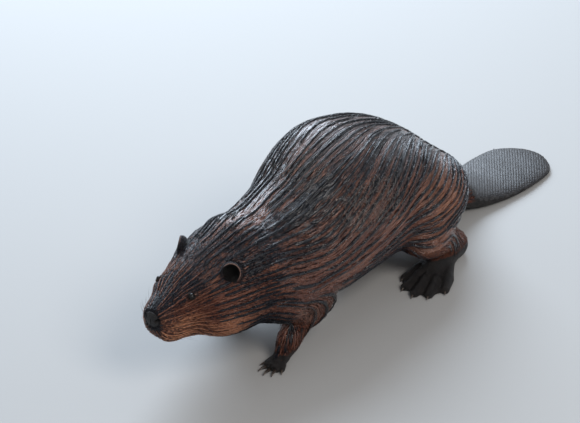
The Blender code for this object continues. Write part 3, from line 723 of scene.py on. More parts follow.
def folded(points, triangles):
    """The skin with its eyelids, ears, nostrils and lips."""
    normals = corner_normals(points, triangles)
    points = points.copy()
    lips(points, normals)
    nostrils(points)
    for side in (1, -1):
        eyelids(points, side)
        ear_hollow(points, side)
    return points


# ---- the coat

# Down a lock, at these shares of its length: its half width, how far up the coat's depth a lock of the lowest
# layer lies, and what the top layer adds to that
DOWN_LOCK, LOCK_WIDTHS = (0.0, 0.33, 0.67, 1.0), (0.28, 1.0, 0.76, 0.0)
LOCK_LEVELS, LAYER_LEVELS = (-0.15, 0.08, 0.18, 0.22), (0.0, 0.66, 0.74, 0.76)
RIDGE = 0.60                      # a lock's height, as a share of its half width
STIFFNESS = 0.4                   # how much of its way a lock keeps from one point to the next
STRAND_STEPS = 24                 # points of a strand, a line that wet locks gather along
STRAND_STARTS, STRAND_REACH = 0.8, 0.6      # their starts' spacing and their reach, in their distances apart
FAR_OFF = 0.009                   # the furthest that a lock feels its strand from
ROPE_EDGE = (0.30, 0.62)          # shares of the way to the next strand over which a rope ends
LEAST_PULL, LIMB_PULL = 0.25, 0.40          # shares of a strand's pull: off its rope and at roots; on limbs
PATCH = 0.003                     # of a lock on the coat's map
STRIP_EDGE, MAP_EDGE = 0.02, 0.01           # room left round the islands of a zone's map, and round all of it
CUP_STRETCH, LIMB_ASIDE = 8, 0.075          # the map's stretch into an ear; how far aside limbs' middles are
# Near eyes and ears, at these distances from their middles, locks have these shares of their length
BY_EYE, BY_EAR = ((0.0065, 0.0180), (0.30, 1.0)), ((0.0170, 0.0360), (0.40, 1.0))
# Locks are left out if they leave the coat this far, come this near an eyeball, or lie over the cup of an
# ear, up to OVER_EAR out of its middle and inside these shares of its radii: all round, and at its front
TOO_HIGH, TOO_LOW, OVER_EYE = 0.0010, -0.0120, 0.0005
OVER_EAR, CLEAR, CLEAR_FRONT, CUP_FRONT, CUP_SLANT = 0.014, 0.88, 0.60, -0.004, 0.6
# How much locks differ: the reach and the edge of their ropes, their layers, lengths, widths and tones
REACHES, EDGES, LAYERS, LENGTHS = (0.6, 1.4), (-0.1, 0.1), (-0.1, 0.1), (0.6, 1.0)
WIDTHS, TONES = (0.65, 1.35), (-0.175, 0.175)

# A zone's locks: their spacing, length and half width; the length and distance of its strands, and how
# strongly they pull; the locks' levels and tones between the ropes and on them (on the face, painted shade
# between the ropes and painted light on them); how many rings of points a lock has; and how many pieces
# the zone is made in
Zone = collections.namedtuple("Zone", "spacing length half_width strand apart pull levels tones rings pieces")
ZONES = {
    "body": Zone(0.00292, 0.050, 0.00095, 0.170, 0.0086, 0.88, (0.10, 0.90), (0.64, 0.06), 3, 6),
    "belly": Zone(0.0046, 0.034, 0.00150, 0.100, 0.0140, 0.60, (0.10, 0.90), (0.60, 0.30), 2, 1),
    "head": Zone(0.00225, 0.026, 0.00072, 0.090, 0.0074, 0.88, (0.10, 0.90), (0.70, 0.04), 3, 2),
    # painted shade and light: on the face the locks between the ropes are darker and those on the ropes lighter
    "face": Zone(0.0016, 0.0120, 0.00048, 0.045, 0.0038, 0.75, (0.15, 0.90), (0.28, 0.86), 2, 1),
    "ears": Zone(0.0014, 0.0050, 0.00038, 0.012, 0.0030, 0.30, (0.40, 0.90), (0.50, 0.50), 2, 1),
    "legs": Zone(0.0025, 0.0135, 0.00072, 0.040, 0.0050, 0.40, (0.50, 0.90), (0.55, 0.30), 2, 1),
    "underfur": Zone(0.0037, 0.012, 0.00075, 0.030, 0.0050, 0.0, (0.10, 0.20), (0.50, 0.50), 2, 1),
}

# The lie of the coat: it sags on the flanks ahead of the hump, rises behind the hump's front, fans out over
# the head from the nose, and turns down the limbs. The pairs are stretches over which one way gives way to
# the next.
SAG, RISE, STEEP_RISE, STEEP_HEIGHTS, HUMP_FRONT = 0.25, 0.15, 0.50, (-0.4, 0.5), (-0.370, -0.230)
FACE_FAN, FAN_WIDTH, FAN_AHEAD = (0.200, 0.0, 0.0), 1.1, (-0.060, 0.120)
ARM_WAY, SHANK_WAY = (0.20, 0.0, -1.0), (-0.45, 0.0, -1.0)
FOOT_WAY, TAIL_WAY = (1.0, 0.0, -0.3), (-1.0, 0.0, -0.25)
HEEL_END, TOES_FROM, FOOT_TOP = (-0.660, -0.620), (-0.46, -0.42), (0.030, 0.050)
TAIL_FROM, ARM_EDGE, ARM_TOP, SHANK_TOP = (-0.780, -0.700), (0.038, 0.068), (0.070, 0.130), (0.045, 0.105)
SHANK_AHEAD, SHANK_WIDE = 0.02, 0.060       # of the heel, and along the body
RAISED = np.array((0.0, 0.0, 0.030))        # the limbs' shorter coat reaches so far past the turn in its lie

# Patches of the coat, along the body and up: the middle of each, and its radii
RUFFLE = ((-0.410, 0.220), (0.070, 0.035))
# the rump's patch is painted sheen: pale bluish grey standing in for the sky's reflection on the wet coat
RUMP_SHEEN = ((-0.545, 0.275), (0.050, 0.035))

# Waves over the coat, in radians per metre along, aside and up
SWINGS, CURLS = np.array(((37, 19, 27), (-61, 47, 83))), np.array(((143, 0, 107), (31, 131, 0)))
SWING_SIZES, SWING_UP, CURL_SIZE, CURLS_ELSEWHERE = (0.07, 0.04), 0.8, 0.10, 0.3


def bell(*offsets):
    """1 where every offset is 0, and less with each of them."""
    return np.exp(-sum(offset ** 2 for offset in offsets))


def in_patch(p, middle, radii):
    return bell(*((p[:, (0, 2)] - np.array(middle)) / radii).T)


def lie(p):
    """Which way the coat lies, before it is laid on the surface: back from the nose, and down the legs."""
    q = in_head(p)
    x, y, z = p.T
    y_mid, z_mid, wide, tall, _ = TRUNK.section(x)
    side = np.abs(np.clip((y - y_mid) / wide, -1, 1))
    rear = step_down(x, *HUMP_FRONT)
    way = np.tile((-1.0, 0.0, 0.0), (len(p), 1))
    way[:, 2] -= SAG * side * (1 - rear)
    way[:, 2] += rear * side * (RISE + STEEP_RISE * step_up((z - z_mid) / tall, *STEEP_HEIGHTS))
    from_nose = unit(q - np.array(FACE_FAN)) * (1, FAN_WIDTH, 1) @ turn_matrix(*HEAD_TURN).T
    foot = step_up(x, *HEEL_END) * step_down(x, *TOES_FROM) * step_down(z, *FOOT_TOP)
    shares = (step_up(q[:, 0], *FAN_AHEAD), *limb_shares(p), foot, step_down(x, *TAIL_FROM))
    for share, towards in zip(shares, (from_nose, ARM_WAY, SHANK_WAY, FOOT_WAY, TAIL_WAY)):
        way = way + (np.array(towards) - way) * share[:, None]
    return unit(way) + waver(p)


def limb_shares(p):
    """How far each point belongs to an arm and to a shank, where the coat turns down."""
    x, y, z = p.T
    heights, places = zip(*sorted((joint[2], joint[0]) for joint in (KNUCKLES, WRIST, ELBOW, SHOULDER)))
    arm = step_down(np.abs(x - np.interp(z, heights, places)), *ARM_EDGE) * step_down(z, *ARM_TOP)
    shank = bell((x - HEEL[0] - SHANK_AHEAD) / SHANK_WIDE) * step_down(z, *SHANK_TOP)
    return arm, shank


def waver(p):
    """Swings of the wet coat to either side of its way, and curls, most on the ruffled part of the flanks."""
    swing = np.array(SWING_SIZES) @ np.sin(SWINGS @ p.T)
    curl = CURL_SIZE * (CURLS_ELSEWHERE + in_patch(p, *RUFFLE)) * np.prod(np.sin(CURLS @ p.T), 0)
    return np.stack([np.zeros(len(p)), swing + curl, SWING_UP * swing - curl], 1)


# Cubic cells are numbered, up to 4096 each way, with so many of them before the first place
CELLS, CELLS_BEFORE = np.array((4096 * 4096, 4096, 1)), 1000
TRIES = 5                                   # random spots for each cell


def cell_numbers(p, size):
    """The number of the cell of this size that each point lies in."""
    return (np.floor(p / size).astype(np.int64) + CELLS_BEFORE) @ CELLS


def scattered(points, triangles, spacing, choose, random):
    """Points of the skin that choose picks, about spacing apart."""
    corners = points[triangles]
    corners = corners[choose(corners.mean(1))]
    area = length(np.cross(corners[:, 1] - corners[:, 0], corners[:, 2] - corners[:, 0])) / 2
    count = int(TRIES * area.sum() / spacing ** 2)
    owner = random.choice(len(corners), count, p=area / area.sum())
    weights = random.random((count, 2))
    weights = np.where(weights.sum(1, keepdims=True) > 1, 1 - weights, weights)
    a, b, c = (corners[owner, i] for i in range(3))
    spots = a + (b - a) * weights[:, :1] + (c - a) * weights[:, 1:]
    return spots[np.unique(cell_numbers(spots, spacing), return_index=True)[1]]


def flattened(ways, normals):
    """The parts of the ways that lie along a surface with these normals."""
    return ways - (ways * normals).sum(1)[:, None] * normals


def grown(field, roots, lengths, heights):
    """Paths from the roots that follow the lie of the coat at these heights from its outside."""
    path, p, way = [], roots, np.zeros(roots.shape)
    for height in heights:
        p, normal = field.at_height(p + way * (lengths / (len(heights) - 1))[:, None], height)
        way = unit(flattened(unit(lie(p)), normal) + STIFFNESS * way)
        path.append(p)
    return np.stack(path, 1)


def kept_apart(paths, apart):
    """The paths that, past their first quarter, keep about this far from every path kept before them."""
    cube = itertools.product(range(-2, 3), repeat=3)
    around = np.array([offset for offset in cube if sum(i * i for i in offset) <= 4]) @ CELLS
    taken, chosen = set(), []
    for i, own in enumerate(cell_numbers(paths, apart / 2)):
        if taken.isdisjoint(own[STRAND_STEPS // 4::3].tolist()):
            chosen.append(i)
            taken.update((own[:, None] + around).ravel().tolist())
    return paths[chosen]


class Strands:
    """Lines down the wet coat that its locks gather along."""

    def __init__(self, field, roots, reach, apart):
        half_way_down = [-0.5 * coat_depth(roots)] * STRAND_STEPS
        self.paths = kept_apart(grown(field, roots, np.full(len(roots), reach), half_way_down), apart)
        self.along = unit(np.gradient(self.paths, axis=1))
        self.tree = KDTree(self.paths.shape[0] * STRAND_STEPS)
        for i, place in enumerate(self.paths.reshape(-1, 3)):
            self.tree.insert(place, i)
        self.tree.balance()

    def nearest(self, p):
        """The number of the strand nearest to each point."""
        return np.array([self.tree.find(place)[1] // STRAND_STEPS for place in p])

    def off(self, p, own, normal):
        """How far each point is to the side of its strand, at most FAR_OFF, and which way that side is."""
        paths = self.paths[own]
        step = length(paths - p[:, None]).argmin(1)
        side = unit(np.cross(normal, self.along[own, step]))
        return np.clip(((p - paths[np.arange(len(p)), step]) * side).sum(1), -FAR_OFF, FAR_OFF), side


def pull_share(share):
    return LEAST_PULL + (1 - LEAST_PULL) * share


def gathered(field, path, strands, own, pull):
    """The paths drawn sideways to their strand, more and more towards their tips."""
    pull = pull * (1 - (1 - LIMB_PULL) * np.maximum(*limb_shares(path[:, 0] - RAISED)))
    for ring in range(path.shape[1]):
        value, slope = field.read(path[:, ring])
        off, side = strands.off(path[:, ring], own, unit(slope))
        path[:, ring] -= (pull * pull_share(ring / (path.shape[1] - 1)) * off)[:, None] * side
        path[:, ring] = field.at_height(path[:, ring], value)[0]
    return path


def band_faces(sides, rings):
    """Triangles between rings of so many points each, which are numbered in order."""
    faces = []
    for ring, i in itertools.product(range(rings - 1), range(sides)):
        a, b = ring * sides + i, ring * sides + (i + 1) % sides
        faces += [(a, b, b + sides), (a, b + sides, a + sides)]
    return faces


def fan_faces(first, sides, tip):
    """Triangles from a ring that starts with the point numbered first to a tip."""
    return [(first + i, first + (i + 1) % sides, tip) for i in range(sides)]


def many(points, faces):
    """Points (mesh, point, 3) of many meshes with the same faces, as the points and triangles of one."""
    number = np.arange(len(points))[:, None, None] * points.shape[1]
    return points.reshape(-1, 3), (np.array(faces)[None] + number).reshape(-1, 3)


def lock_mesh(field, path, half_widths):
    """Closed three-sided locks along the paths, each with a ridge and a pointed tip."""
    count, rings = len(path), path.shape[1] - 1
    normal = unit(field.read(path[:, :rings].reshape(-1, 3))[1]).reshape(count, rings, 3)
    side = unit(np.cross(normal, path[:, 1:] - path[:, :-1]))
    shares = np.interp(np.arange(rings) / rings, DOWN_LOCK, LOCK_WIDTHS)
    wide = half_widths[:, None, None] * shares[None, :, None]
    left, right = path[:, :rings] - side * wide, path[:, :rings] + side * wide
    ridge = path[:, :rings] + normal * wide * RIDGE
    points = np.concatenate([np.stack([left, ridge, right], 2).reshape(count, -1, 3), path[:, rings:]], 1)
    return many(points, [(0, 2, 1), *band_faces(3, rings), *fan_faces(3 * rings - 3, 3, 3 * rings)])


def charted(name, p):
    """The points' places on the unwrap of their zone of the skin: along it, round it, and on which island."""
    left, arm = p[:, 1] > 0, p[:, 0] > BETWEEN_LEGS
    if name == "ears":
        ear, reach = ear_places(p)
        return reach - CUP_STRETCH * ear[:, 0], np.arctan2(ear[:, 1], ear[:, 2]), left.astype(int)
    if name == "legs":
        middle = np.where(arm, ELBOW[0], HEEL[0] + SHANK_AHEAD)
        return p[:, 2], np.arctan2(np.abs(p[:, 1]) - LIMB_ASIDE, p[:, 0] - middle), left + 2 * arm
    if name in ("head", "face", "underfur"):
        p, middle_y, middle_z = in_head(p), 0.0, 0.0
    else:
        middle_y, middle_z = TRUNK.section(p[:, 0])[:2]
    return p[:, 0], np.arctan2(p[:, 1] - middle_y, p[:, 2] - middle_z), np.zeros(len(p), int)


def zone_map(name, p):
    """Each point's place on its zone's map, where the islands lie side by side and each fills its strip."""
    along, around, island = charted(name, p)
    place = np.stack([along, around], 1)
    for number in range(island.max() + 1):
        own = island == number
        lowest, highest = place[own].min(0), place[own].max(0)
        place[own] = (place[own] - lowest) / (highest - lowest)
    place[:, 1] = (place[:, 1] * (1 - 2 * STRIP_EDGE) + STRIP_EDGE + island) / (island.max() + 1)
    return MAP_EDGE + (1 - 2 * MAP_EDGE) * place


def lock_uv(places, rings):
    """A patch for each lock at its root's place on the map: along it and across it."""
    down = np.concatenate([np.repeat(np.arange(rings), 3), [rings]]) / rings
    across = np.array([-0.5, 0.0, 0.5] * rings + [0.0])
    return (places[:, None] + PATCH * np.stack([down - 0.5, across], 1)[None]).reshape(-1, 2)


def lock_heights(rings, roots, lengths, layer):
    """The heights of each lock's points from the outside of the coat, in a coat that may get shallower."""
    down = np.arange(rings + 1) / rings
    levels = zip(down, np.interp(down, DOWN_LOCK, LOCK_LEVELS), np.interp(down, DOWN_LOCK, LAYER_LEVELS))
    depth = coat_depth(roots)
    shallower = np.minimum(0, coat_depth(roots + lengths[:, None] * lie(roots)) - depth)
    return [(depth + shallower * share) * (low + gain * layer - 1) for share, low, gain in levels]


def add_coat(name, field, skin, look, random):
    """One zone's locks, shared out evenly over its pieces."""
    zone, choose = ZONES[name], grows_on(name)
    seeds = random.permutation(scattered(*skin, STRAND_STARTS * zone.apart, choose, random))
    strands = Strands(field, seeds, zone.strand, zone.apart)
    roots = scattered(*skin, zone.spacing, choose, random)
    own, count, lines = strands.nearest(roots), len(roots), len(strands.paths)
    off, _ = strands.off(roots, own, unit(field.read(roots)[1]))
    reach = STRAND_REACH * zone.apart * random.uniform(*REACHES, lines)[own]
    rope = step_down(np.abs(off) / reach + random.uniform(*EDGES, count), *ROPE_EDGE)
    layer = np.clip(np.interp(rope, (0, 1), zone.levels) + random.uniform(*LAYERS, count), 0, 1)
    lengths = zone.length * random.uniform(*LENGTHS, count) * room_ahead(roots)
    path = grown(field, roots, lengths, lock_heights(zone.rings, roots, lengths, layer))
    path = gathered(field, path, strands, own, zone.pull * pull_share(rope))
    widths = zone.half_width * random.uniform(*WIDTHS, count)
    # on the face, the zone's tones paint shade between the ropes and light on them
    tone = np.interp(rope, (0, 1), zone.tones) + random.uniform(*TONES, lines)[own]
    tone += random.uniform(*TONES, count)
    order = random.permutation(np.flatnonzero(~astray(field, path)))
    places = zone_map(name, roots)
    for i in range(zone.pieces):
        mine = order[i::zone.pieces]
        points, triangles = lock_mesh(field, path[mine], widths[mine])
        numbers = {"tone": np.repeat(tone[mine], 3 * zone.rings + 1), **markings(points)}
        uv = lock_uv(places[mine], zone.rings)
        add_mesh(f"coat_{name}_{i + 1}", points, triangles, look, "fur", numbers, uv)


def room_ahead(p):
    """The share of their length that locks have near the eyes and ears."""
    return np.minimum(np.interp(eye_reach(p), *BY_EYE), np.interp(ear_reach(p), *BY_EAR))


def astray(field, path):
    """Whether each lock leaves the coat, or runs over an eyeball or into the hollow of an ear."""
    value = field.read(path.reshape(-1, 3))[0].reshape(path.shape[:2])
    ends = path[:, 1:].reshape(-1, 3)
    ear, reach = ear_places(ends)
    clear = np.where(ear[:, 1] + CUP_SLANT * ear[:, 2] < CUP_FRONT, CLEAR_FRONT, CLEAR)
    hollow = (reach < clear) & (ear[:, 0] > EAR_MOUTH - HOLLOW_DEPTH) & (ear[:, 0] < OVER_EAR)
    hit = (hollow | (eye_reach(ends) < EYE_RADIUS + OVER_EYE)).reshape(len(path), -1)
    return hit.any(1) | (value > TOO_HIGH).any(1) | (value < TOO_LOW).any(1)


# ---- where the coat grows, and its markings

# The upper edge of the rusty cheeks: places ahead of the nape, and its height and distance to the side there
RUST_LINE = ((-0.06, 0.0, 0.062, 0.100, 0.130, 0.160, 0.185),
             (0.020, 0.030, 0.034, 0.039, 0.040, 0.026, 0.012),
             (0.074, 0.070, 0.062, 0.050, 0.036, 0.024, 0.014))
RUST_SLANT, RUST_EDGE = 0.8, (-0.026, 0.020)          # how much the side counts; the edge's softness
HEAD_RUST, CHEEK_RUST, SNOUT_RUST, SNOUT_RUST_FROM = 0.18, 0.26, 0.34, (0.030, 0.120)
HEAD_FROM_NAPE = (-0.05, 0.03)    # the stretch over which the body's markings turn into the head's

# How rusty the back is, what the flanks add and what painted shade takes off the hump's front, and the hips;
# and where these are
BACK_RUST, FLANK_RUST, HUMP_FRONT_SHADE, HIP_RUST = 0.33, 0.38, -0.16, 0.95
FLANKS_BELOW, HUMP_AHEAD, AHEAD_WIDE, AHEAD_ABOVE = (0.120, 0.235), -0.315, 0.045, (0.215, 0.250)
HIP, HIP_WIDE, HIP_DOWN, HIP_UP = (-0.612, 0.165), 0.052, 0.10, 0.040

# How sandy the sides of the snout, the jaw and the hips are, and how much painted sheen of the wet coat the
# crest and the tail's root get: how much, and the stretches ahead, aside and up
SNOUT_SAND, SNOUT_ASIDE, SNOUT_DOWN = (0.110, 0.160), (0.012, 0.022), (-0.004, 0.018)
JAW_SAND, JAW_FROM, JAW_DOWN, HIP_SAND = 0.5, (0.02, 0.09), (-0.030, -0.004), 0.55
CREST_SHEEN, CREST_WIDE, CREST_UP, CREST_BACK = 0.85, 0.075, (0.240, 0.310), (-0.420, -0.340)
ROOT_SHEEN, ROOT_PLACE, ROOT_WIDE, ROOT_UP = 0.45, -0.64, 0.05, (0.15, 0.21)

# The nose is black round its pad: the middle in the head's axes, the proportions and the edge
BLACK_NOSE, BLACK_TO = ((0.196, 0.0, 0.004), (1, 1, 0.85)), (0.017, 0.026)


def rusty(p, hip):
    """How rusty the coat is: more down the flanks, less on the hump's front where shade is painted, most on the
    hips and cheeks.
    """
    q = in_head(p)
    x, _, z = p.T
    ahead_of, heights, sides = RUST_LINE
    # painted shade: the steep front of the hump is made darker
    hump_front = bell((x - HUMP_AHEAD) / AHEAD_WIDE) * step_up(z, *AHEAD_ABOVE)
    body = BACK_RUST + FLANK_RUST * step_down(z, *FLANKS_BELOW) + HUMP_FRONT_SHADE * hump_front
    body = np.maximum(body, HIP_RUST * hip)
    above = q[:, 2] - np.interp(q[:, 0], ahead_of, heights)
    above += RUST_SLANT * (np.interp(q[:, 0], ahead_of, sides) - np.abs(q[:, 1]))
    cheek = CHEEK_RUST + SNOUT_RUST * step_up(q[:, 0], *SNOUT_RUST_FROM)
    head = HEAD_RUST + cheek * step_down(above, *RUST_EDGE)
    return body + (head - body) * step_up(q[:, 0], *HEAD_FROM_NAPE)


def sandy_share(p, hip):
    """How sandy it is: on the sides of the snout, along the jaw and on the hips."""
    ahead, aside, up = in_head(p).T
    snout = step_up(ahead, *SNOUT_SAND) * step_up(np.abs(aside), *SNOUT_ASIDE) * step_down(up, *SNOUT_DOWN)
    jaw = JAW_SAND * step_up(ahead, *JAW_FROM) * step_down(up, *JAW_DOWN)
    return np.maximum.reduce([snout, jaw, HIP_SAND * hip])


def painted_sheen_share(p):
    """How much painted sheen of the wet coat it gets: along the hump's crest, on the rump and over the root of
    the tail.
    """
    x, y, z = p.T
    crest = bell(y / CREST_WIDE) * step_up(z, *CREST_UP) * step_down(x, *CREST_BACK)
    root = bell((x - ROOT_PLACE) / ROOT_WIDE) * step_up(z, *ROOT_UP)
    return np.maximum.reduce([CREST_SHEEN * crest, in_patch(p, *RUMP_SHEEN), ROOT_SHEEN * root])


def markings(p):
    """How rusty and sandy the coat is at each point, how much painted sheen it gets, how bare or pale the skin
    is, and where shade is painted on it.
    """
    behind, above = p[:, 0] - HIP[0], p[:, 2] - HIP[1]
    hip = bell(behind / HIP_WIDE, np.minimum(above, 0) / HIP_DOWN, np.maximum(above, 0) / HIP_UP)
    off_nose = step_up(length((in_head(p) - np.array(BLACK_NOSE[0])) / BLACK_NOSE[1]), *BLACK_TO)
    return {"rust": np.clip(rusty(p, hip) * off_nose, 0, 1), "sandy": sandy_share(p, hip) * off_nose,
            "painted_sheen": np.clip(painted_sheen_share(p), 0, 1), **bareness(p)}


# Bare skin, in the ears, on hands and feet and on the tail: shares of an ear's radii, the stretch out of its
# middle, and heights and places along the body
EAR_BARE, CUP_MIDDLE, CUP_HALF = (0.89, 0.95), 0.002, 0.016
HANDS_BARE, FEET_BARE, FEET_BELOW, FEET_BEHIND = (0.018, 0.030), (0.026, 0.040), 0.045, -0.100
TAIL_BARE = (-0.806, -0.790)
# The pale rim of an ear: shares of its radii, how far in from its mouth, and the part of it that is pale
RIM_FROM, RIM_TO, RIM_IN, RIM_PART, RIM_SLANT = (0.90, 0.93), (0.98, 1.03), 0.0030, (-0.004, 0.008), 0.8
CORNER_EDGE, NOSTRIL_SHADE, LID_DARK = (0.0004, 0.0014), (0.0012, 0.0026), (0.0062, 0.0070)   # distances


def ear_places(p):
    """Each point's place in the nearer ear's axes, and its distance from their middle line as a share of the
    cup's radius."""
    both = [in_ear(p, side) for side in (1, -1)]
    left = np.where((length(both[0]) < length(both[1]))[:, None], both[0], both[1])
    return left, np.hypot(left[:, 1] / EAR_SIZE[1], left[:, 2] / EAR_SIZE[2])


def bareness(p):
    """1 where the skin is bare, 0 where the coat grows; and 1 deep in ears and nostrils, where shade is
    painted, on pale rims and corners, and on the lids."""
    ear, reach = ear_places(p)
    out, across, up = ear.T
    near = np.abs(out - CUP_MIDDLE) < CUP_HALF
    hollow = step_down(reach, *EAR_BARE) * near
    feet = np.where(p[:, 0] > BETWEEN_LEGS, step_down(p[:, 2], *HANDS_BARE), step_down(p[:, 2], *FEET_BARE))
    feet *= (p[:, 0] < FEET_BEHIND) & (p[:, 2] < FEET_BELOW)
    bare = np.maximum.reduce([nose_pad(p), hollow, feet, step_down(p[:, 0], *TAIL_BARE)])
    rim = near * step_up(reach, *RIM_FROM) * step_down(reach, *RIM_TO) * (out > EAR_MOUTH - RIM_IN)
    rim = rim * step_up(across + RIM_SLANT * up, *RIM_PART)
    # painted shade in the nostrils' slits
    nostril = step_down(segment_distance(both_as_left(in_head(p)), NOSTRIL), *NOSTRIL_SHADE)
    return {"bare": bare, "hollow": np.maximum(hollow, nostril), "lid": step_down(eye_reach(p), *LID_DARK),
            "rim": np.maximum(rim, step_down(corner_reach(p), *CORNER_EDGE))}


def corner_reach(p):
    """How far each point is from the pale line behind the nearer eye."""
    away = []
    for side in (1, -1):
        local = (p - eye_middle(side)) @ eye_axes(side)
        flat = segment_distance(local * (1, 1, 0), EYE_CORNER)
        away.append(np.where(np.abs(local[:, 2]) < EYE_RADIUS, flat, 1.0))
    return np.minimum(*away)


# Where the zones of the coat meet: heights, places ahead on the head, and distances from a limb's or an ear's
# middle
BELLY_TO, BODY_FROM, BODY_AHEAD, BELLY_AHEAD = 0.066, 0.056, 0.008, 0.0
HEAD_ZONE, FACE_ZONE, UNDERFUR_ZONE, EAR_ZONE = (-0.022, 0.110), 0.092, -0.030, 0.0200
ARM_ZONE, THIGH_ZONE, LIMBS_FROM, LIMB_UNDERFUR = 0.055, 0.06, 0.030, 0.3
MOST_BARE, OFF_EYE, OFF_CORNER = 0.6, 0.0064, 0.0008  # where no locks start


def grows_on(name):
    """Whether the named zone of the coat grows at points of the skin. Zones overlap a little."""
    def choose(p):
        x, y, z = p.T
        ahead = in_head(p)[:, 0]
        limb = (np.abs(x - ELBOW[0]) < ARM_ZONE) | (x < KNEE[0] + THIGH_ZONE)
        limb &= np.abs(y) > LIMBS_FROM
        ears = ear_reach(p) < EAR_ZONE
        head = (ahead > HEAD_ZONE[0]) & ~ears
        low = (z < BELLY_TO) & (ahead <= BELLY_AHEAD)
        zones = {"body": (z > BODY_FROM) & (ahead <= BODY_AHEAD), "belly": low & ~limb, "legs": low & limb,
                 "head": head & (ahead <= HEAD_ZONE[1]), "face": head & (ahead > FACE_ZONE), "ears": ears,
                 "underfur": (ahead > UNDERFUR_ZONE) | (np.maximum(*limb_shares(p - RAISED)) > LIMB_UNDERFUR)}
        furred = (bareness(p)["bare"] < MOST_BARE) & (corner_reach(p) > OFF_CORNER)
        return furred & (eye_reach(p) > OFF_EYE) & zones[name]
    return choose


# ---- objects and materials

def added(name, data):
    """A new object in the scene."""
    item = bpy.data.objects.new(name, data)
    bpy.context.scene.collection.objects.link(item)
    return item


class Look:
    """A material and its nodes. An input of a node is a value, or an output of another node."""

    def __init__(self, name, roughness, **sockets):
        self.material = bpy.data.materials.new(name)
        self.material.use_nodes = True
        self.tree = self.material.node_tree
        self.shader = self.tree.nodes["Principled BSDF"]
        self.shader.inputs["Roughness"].default_value = roughness
        for socket, value in sockets.items():
            self.shader.inputs[socket.replace("_", " ")].default_value = value

    def link(self, output, socket):
        self.tree.links.new(output, self.shader.inputs[socket])

    def node(self, kind, inputs=(), output=0, **settings):
        """A node's output."""
        made = self.tree.nodes.new(kind)
        for name, value in settings.items():
            setattr(made, name, value)
        for socket, value in dict(inputs).items():
            if isinstance(value, bpy.types.NodeSocket):
                self.tree.links.new(value, made.inputs[socket])
            else:
                made.inputs[socket].default_value = value
        return made.outputs[output]

    def attribute(self, name):
        return self.node("ShaderNodeAttribute", output="Fac", attribute_name=name)

    def maths(self, operation, first, second):
        return self.node("ShaderNodeMath", {0: first, 1: second}, operation=operation, use_clamp=True)

    def mixed(self, share, first, second):
        first, second = (colour if isinstance(colour, bpy.types.NodeSocket) else (*colour, 1.0)
                         for colour in (first, second))
        return self.node("ShaderNodeMixRGB", {"Fac": share, "Color1": first, "Color2": second})

    def ranged(self, value, low, high, to_low=0.0, to_high=1.0):
        return self.node("ShaderNodeMapRange", {"Value": value, "From Min": low, "From Max": high,
                                                "To Min": to_low, "To Max": to_high})

    def noise(self, scale, detail=3.0, stretch=(1.0, 1.0, 1.0)):
        place = self.node("ShaderNodeNewGeometry", output="Position")
        place = self.node("ShaderNodeVectorMath", {0: place, 1: stretch}, operation="MULTIPLY")
        return self.node("ShaderNodeTexNoise", {"Vector": place, "Scale": scale, "Detail": detail})

    def bump(self, height, strength, distance):
        self.link(self.node("ShaderNodeBump", {"Height": height, "Strength": strength, "Distance": distance}),
                  "Normal")


def add_mesh(name, points, triangles, look, slot, numbers=(), uv=None):
    """A piece of the animal, moved from the form's place to the frame's."""
    mesh = bpy.data.meshes.new(name)
    mesh.vertices.add(len(points))
    mesh.vertices.foreach_set("co", (points + SHIFT).astype(np.float32).ravel())
    mesh.loops.add(triangles.size)
    mesh.loops.foreach_set("vertex_index", triangles.astype(np.int32).ravel())
    mesh.polygons.add(len(triangles))
    mesh.polygons.foreach_set("loop_start", np.arange(0, triangles.size, 3, dtype=np.int32))
    mesh.update(calc_edges=True)
    mesh.shade_smooth()
    for title, values in dict(numbers).items():
        mesh.attributes.new(title, "FLOAT", "POINT").data.foreach_set("value", values.astype(np.float32))
    if uv is not None:
        layer = mesh.uv_layers.new(name="OFBake", do_init=False)
        layer.uv.foreach_set("vector", uv[triangles.ravel()].astype(np.float32).ravel())
    mesh.materials.append(look.material)
    piece = added(name, mesh)
    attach(piece, "root")
    return piece


# ---- eyes, claws, whiskers and the tail's scales

EYE_STEPS = (40, 26)              # round the ball, and from its front to its back
PUPIL, IRIS = 0.30, 0.52          # radii, as shares of the ball's
CLAW_TIP, CLAW_ROOT = 0.0016, -0.35     # the tip's height above the ground; the root, in a claw's lengths
CLAW_RADII, CLAW_ARCH, CLAW_STEPS, CLAW_SIDES, CLAW_FLAT = (0.0031, 0.0006), 0.0022, 7, 10, 0.85
WHISKERS_PER_SIDE, WHISKERS_PER_ROW, WHISKER_STEPS = 13, 5, 8
WHISKER_FIRST, WHISKERS_APART = (0.178, 0.030, -0.001), (0.0065, 0.007)    # along a row, and from row to row
WHISKER_LENGTHS, WHISKER_RADIUS = (0.020, 0.036), 0.00026
WHISKER_SWEEP, WHISKER_BACK = 0.45, (-1.0, 0.0, -0.25)
WHISKER_WAY = ((-0.35, -0.10), 0.85, 0.15, 0.28)      # ahead, aside and up, and how much less up in each row
LOOSE_SPACING, LOOSE_LENGTHS, LOOSE_STEPS, LOOSE_FROM = 0.0075, (0.010, 0.026), 7, 0.35
LOOSE_RADIUS, LOOSE_LIFT, LOOSE_SPREAD, LOOSE_BEND = 0.00030, 0.0008, 1.2, 0.45
SCALE_SPACING, SCALE_SIDES = (0.0082, 0.0060), 8      # along and across the tail
SCALE_LIFT, SCALE_SKIRT = 0.0007, -0.0012             # heights of the rear edge and of the edge in the skin
SCALE_TOP, SCALE_DOME = 0.72, (0.000275, 0.000375)    # size of the ring on top; its height and the middle's
SCALE_RADII, SCALE_SHIFTS, SCALE_SIZES = (0.58, 0.53), (-0.05, 0.05), (0.92, 1.06)   # shares of the spacing
SCALES_FROM, SCALES_TO, SCALES_ASIDE, SCALES_ABOVE = -0.805, -1.075, 0.090, 0.030    # where they are sought
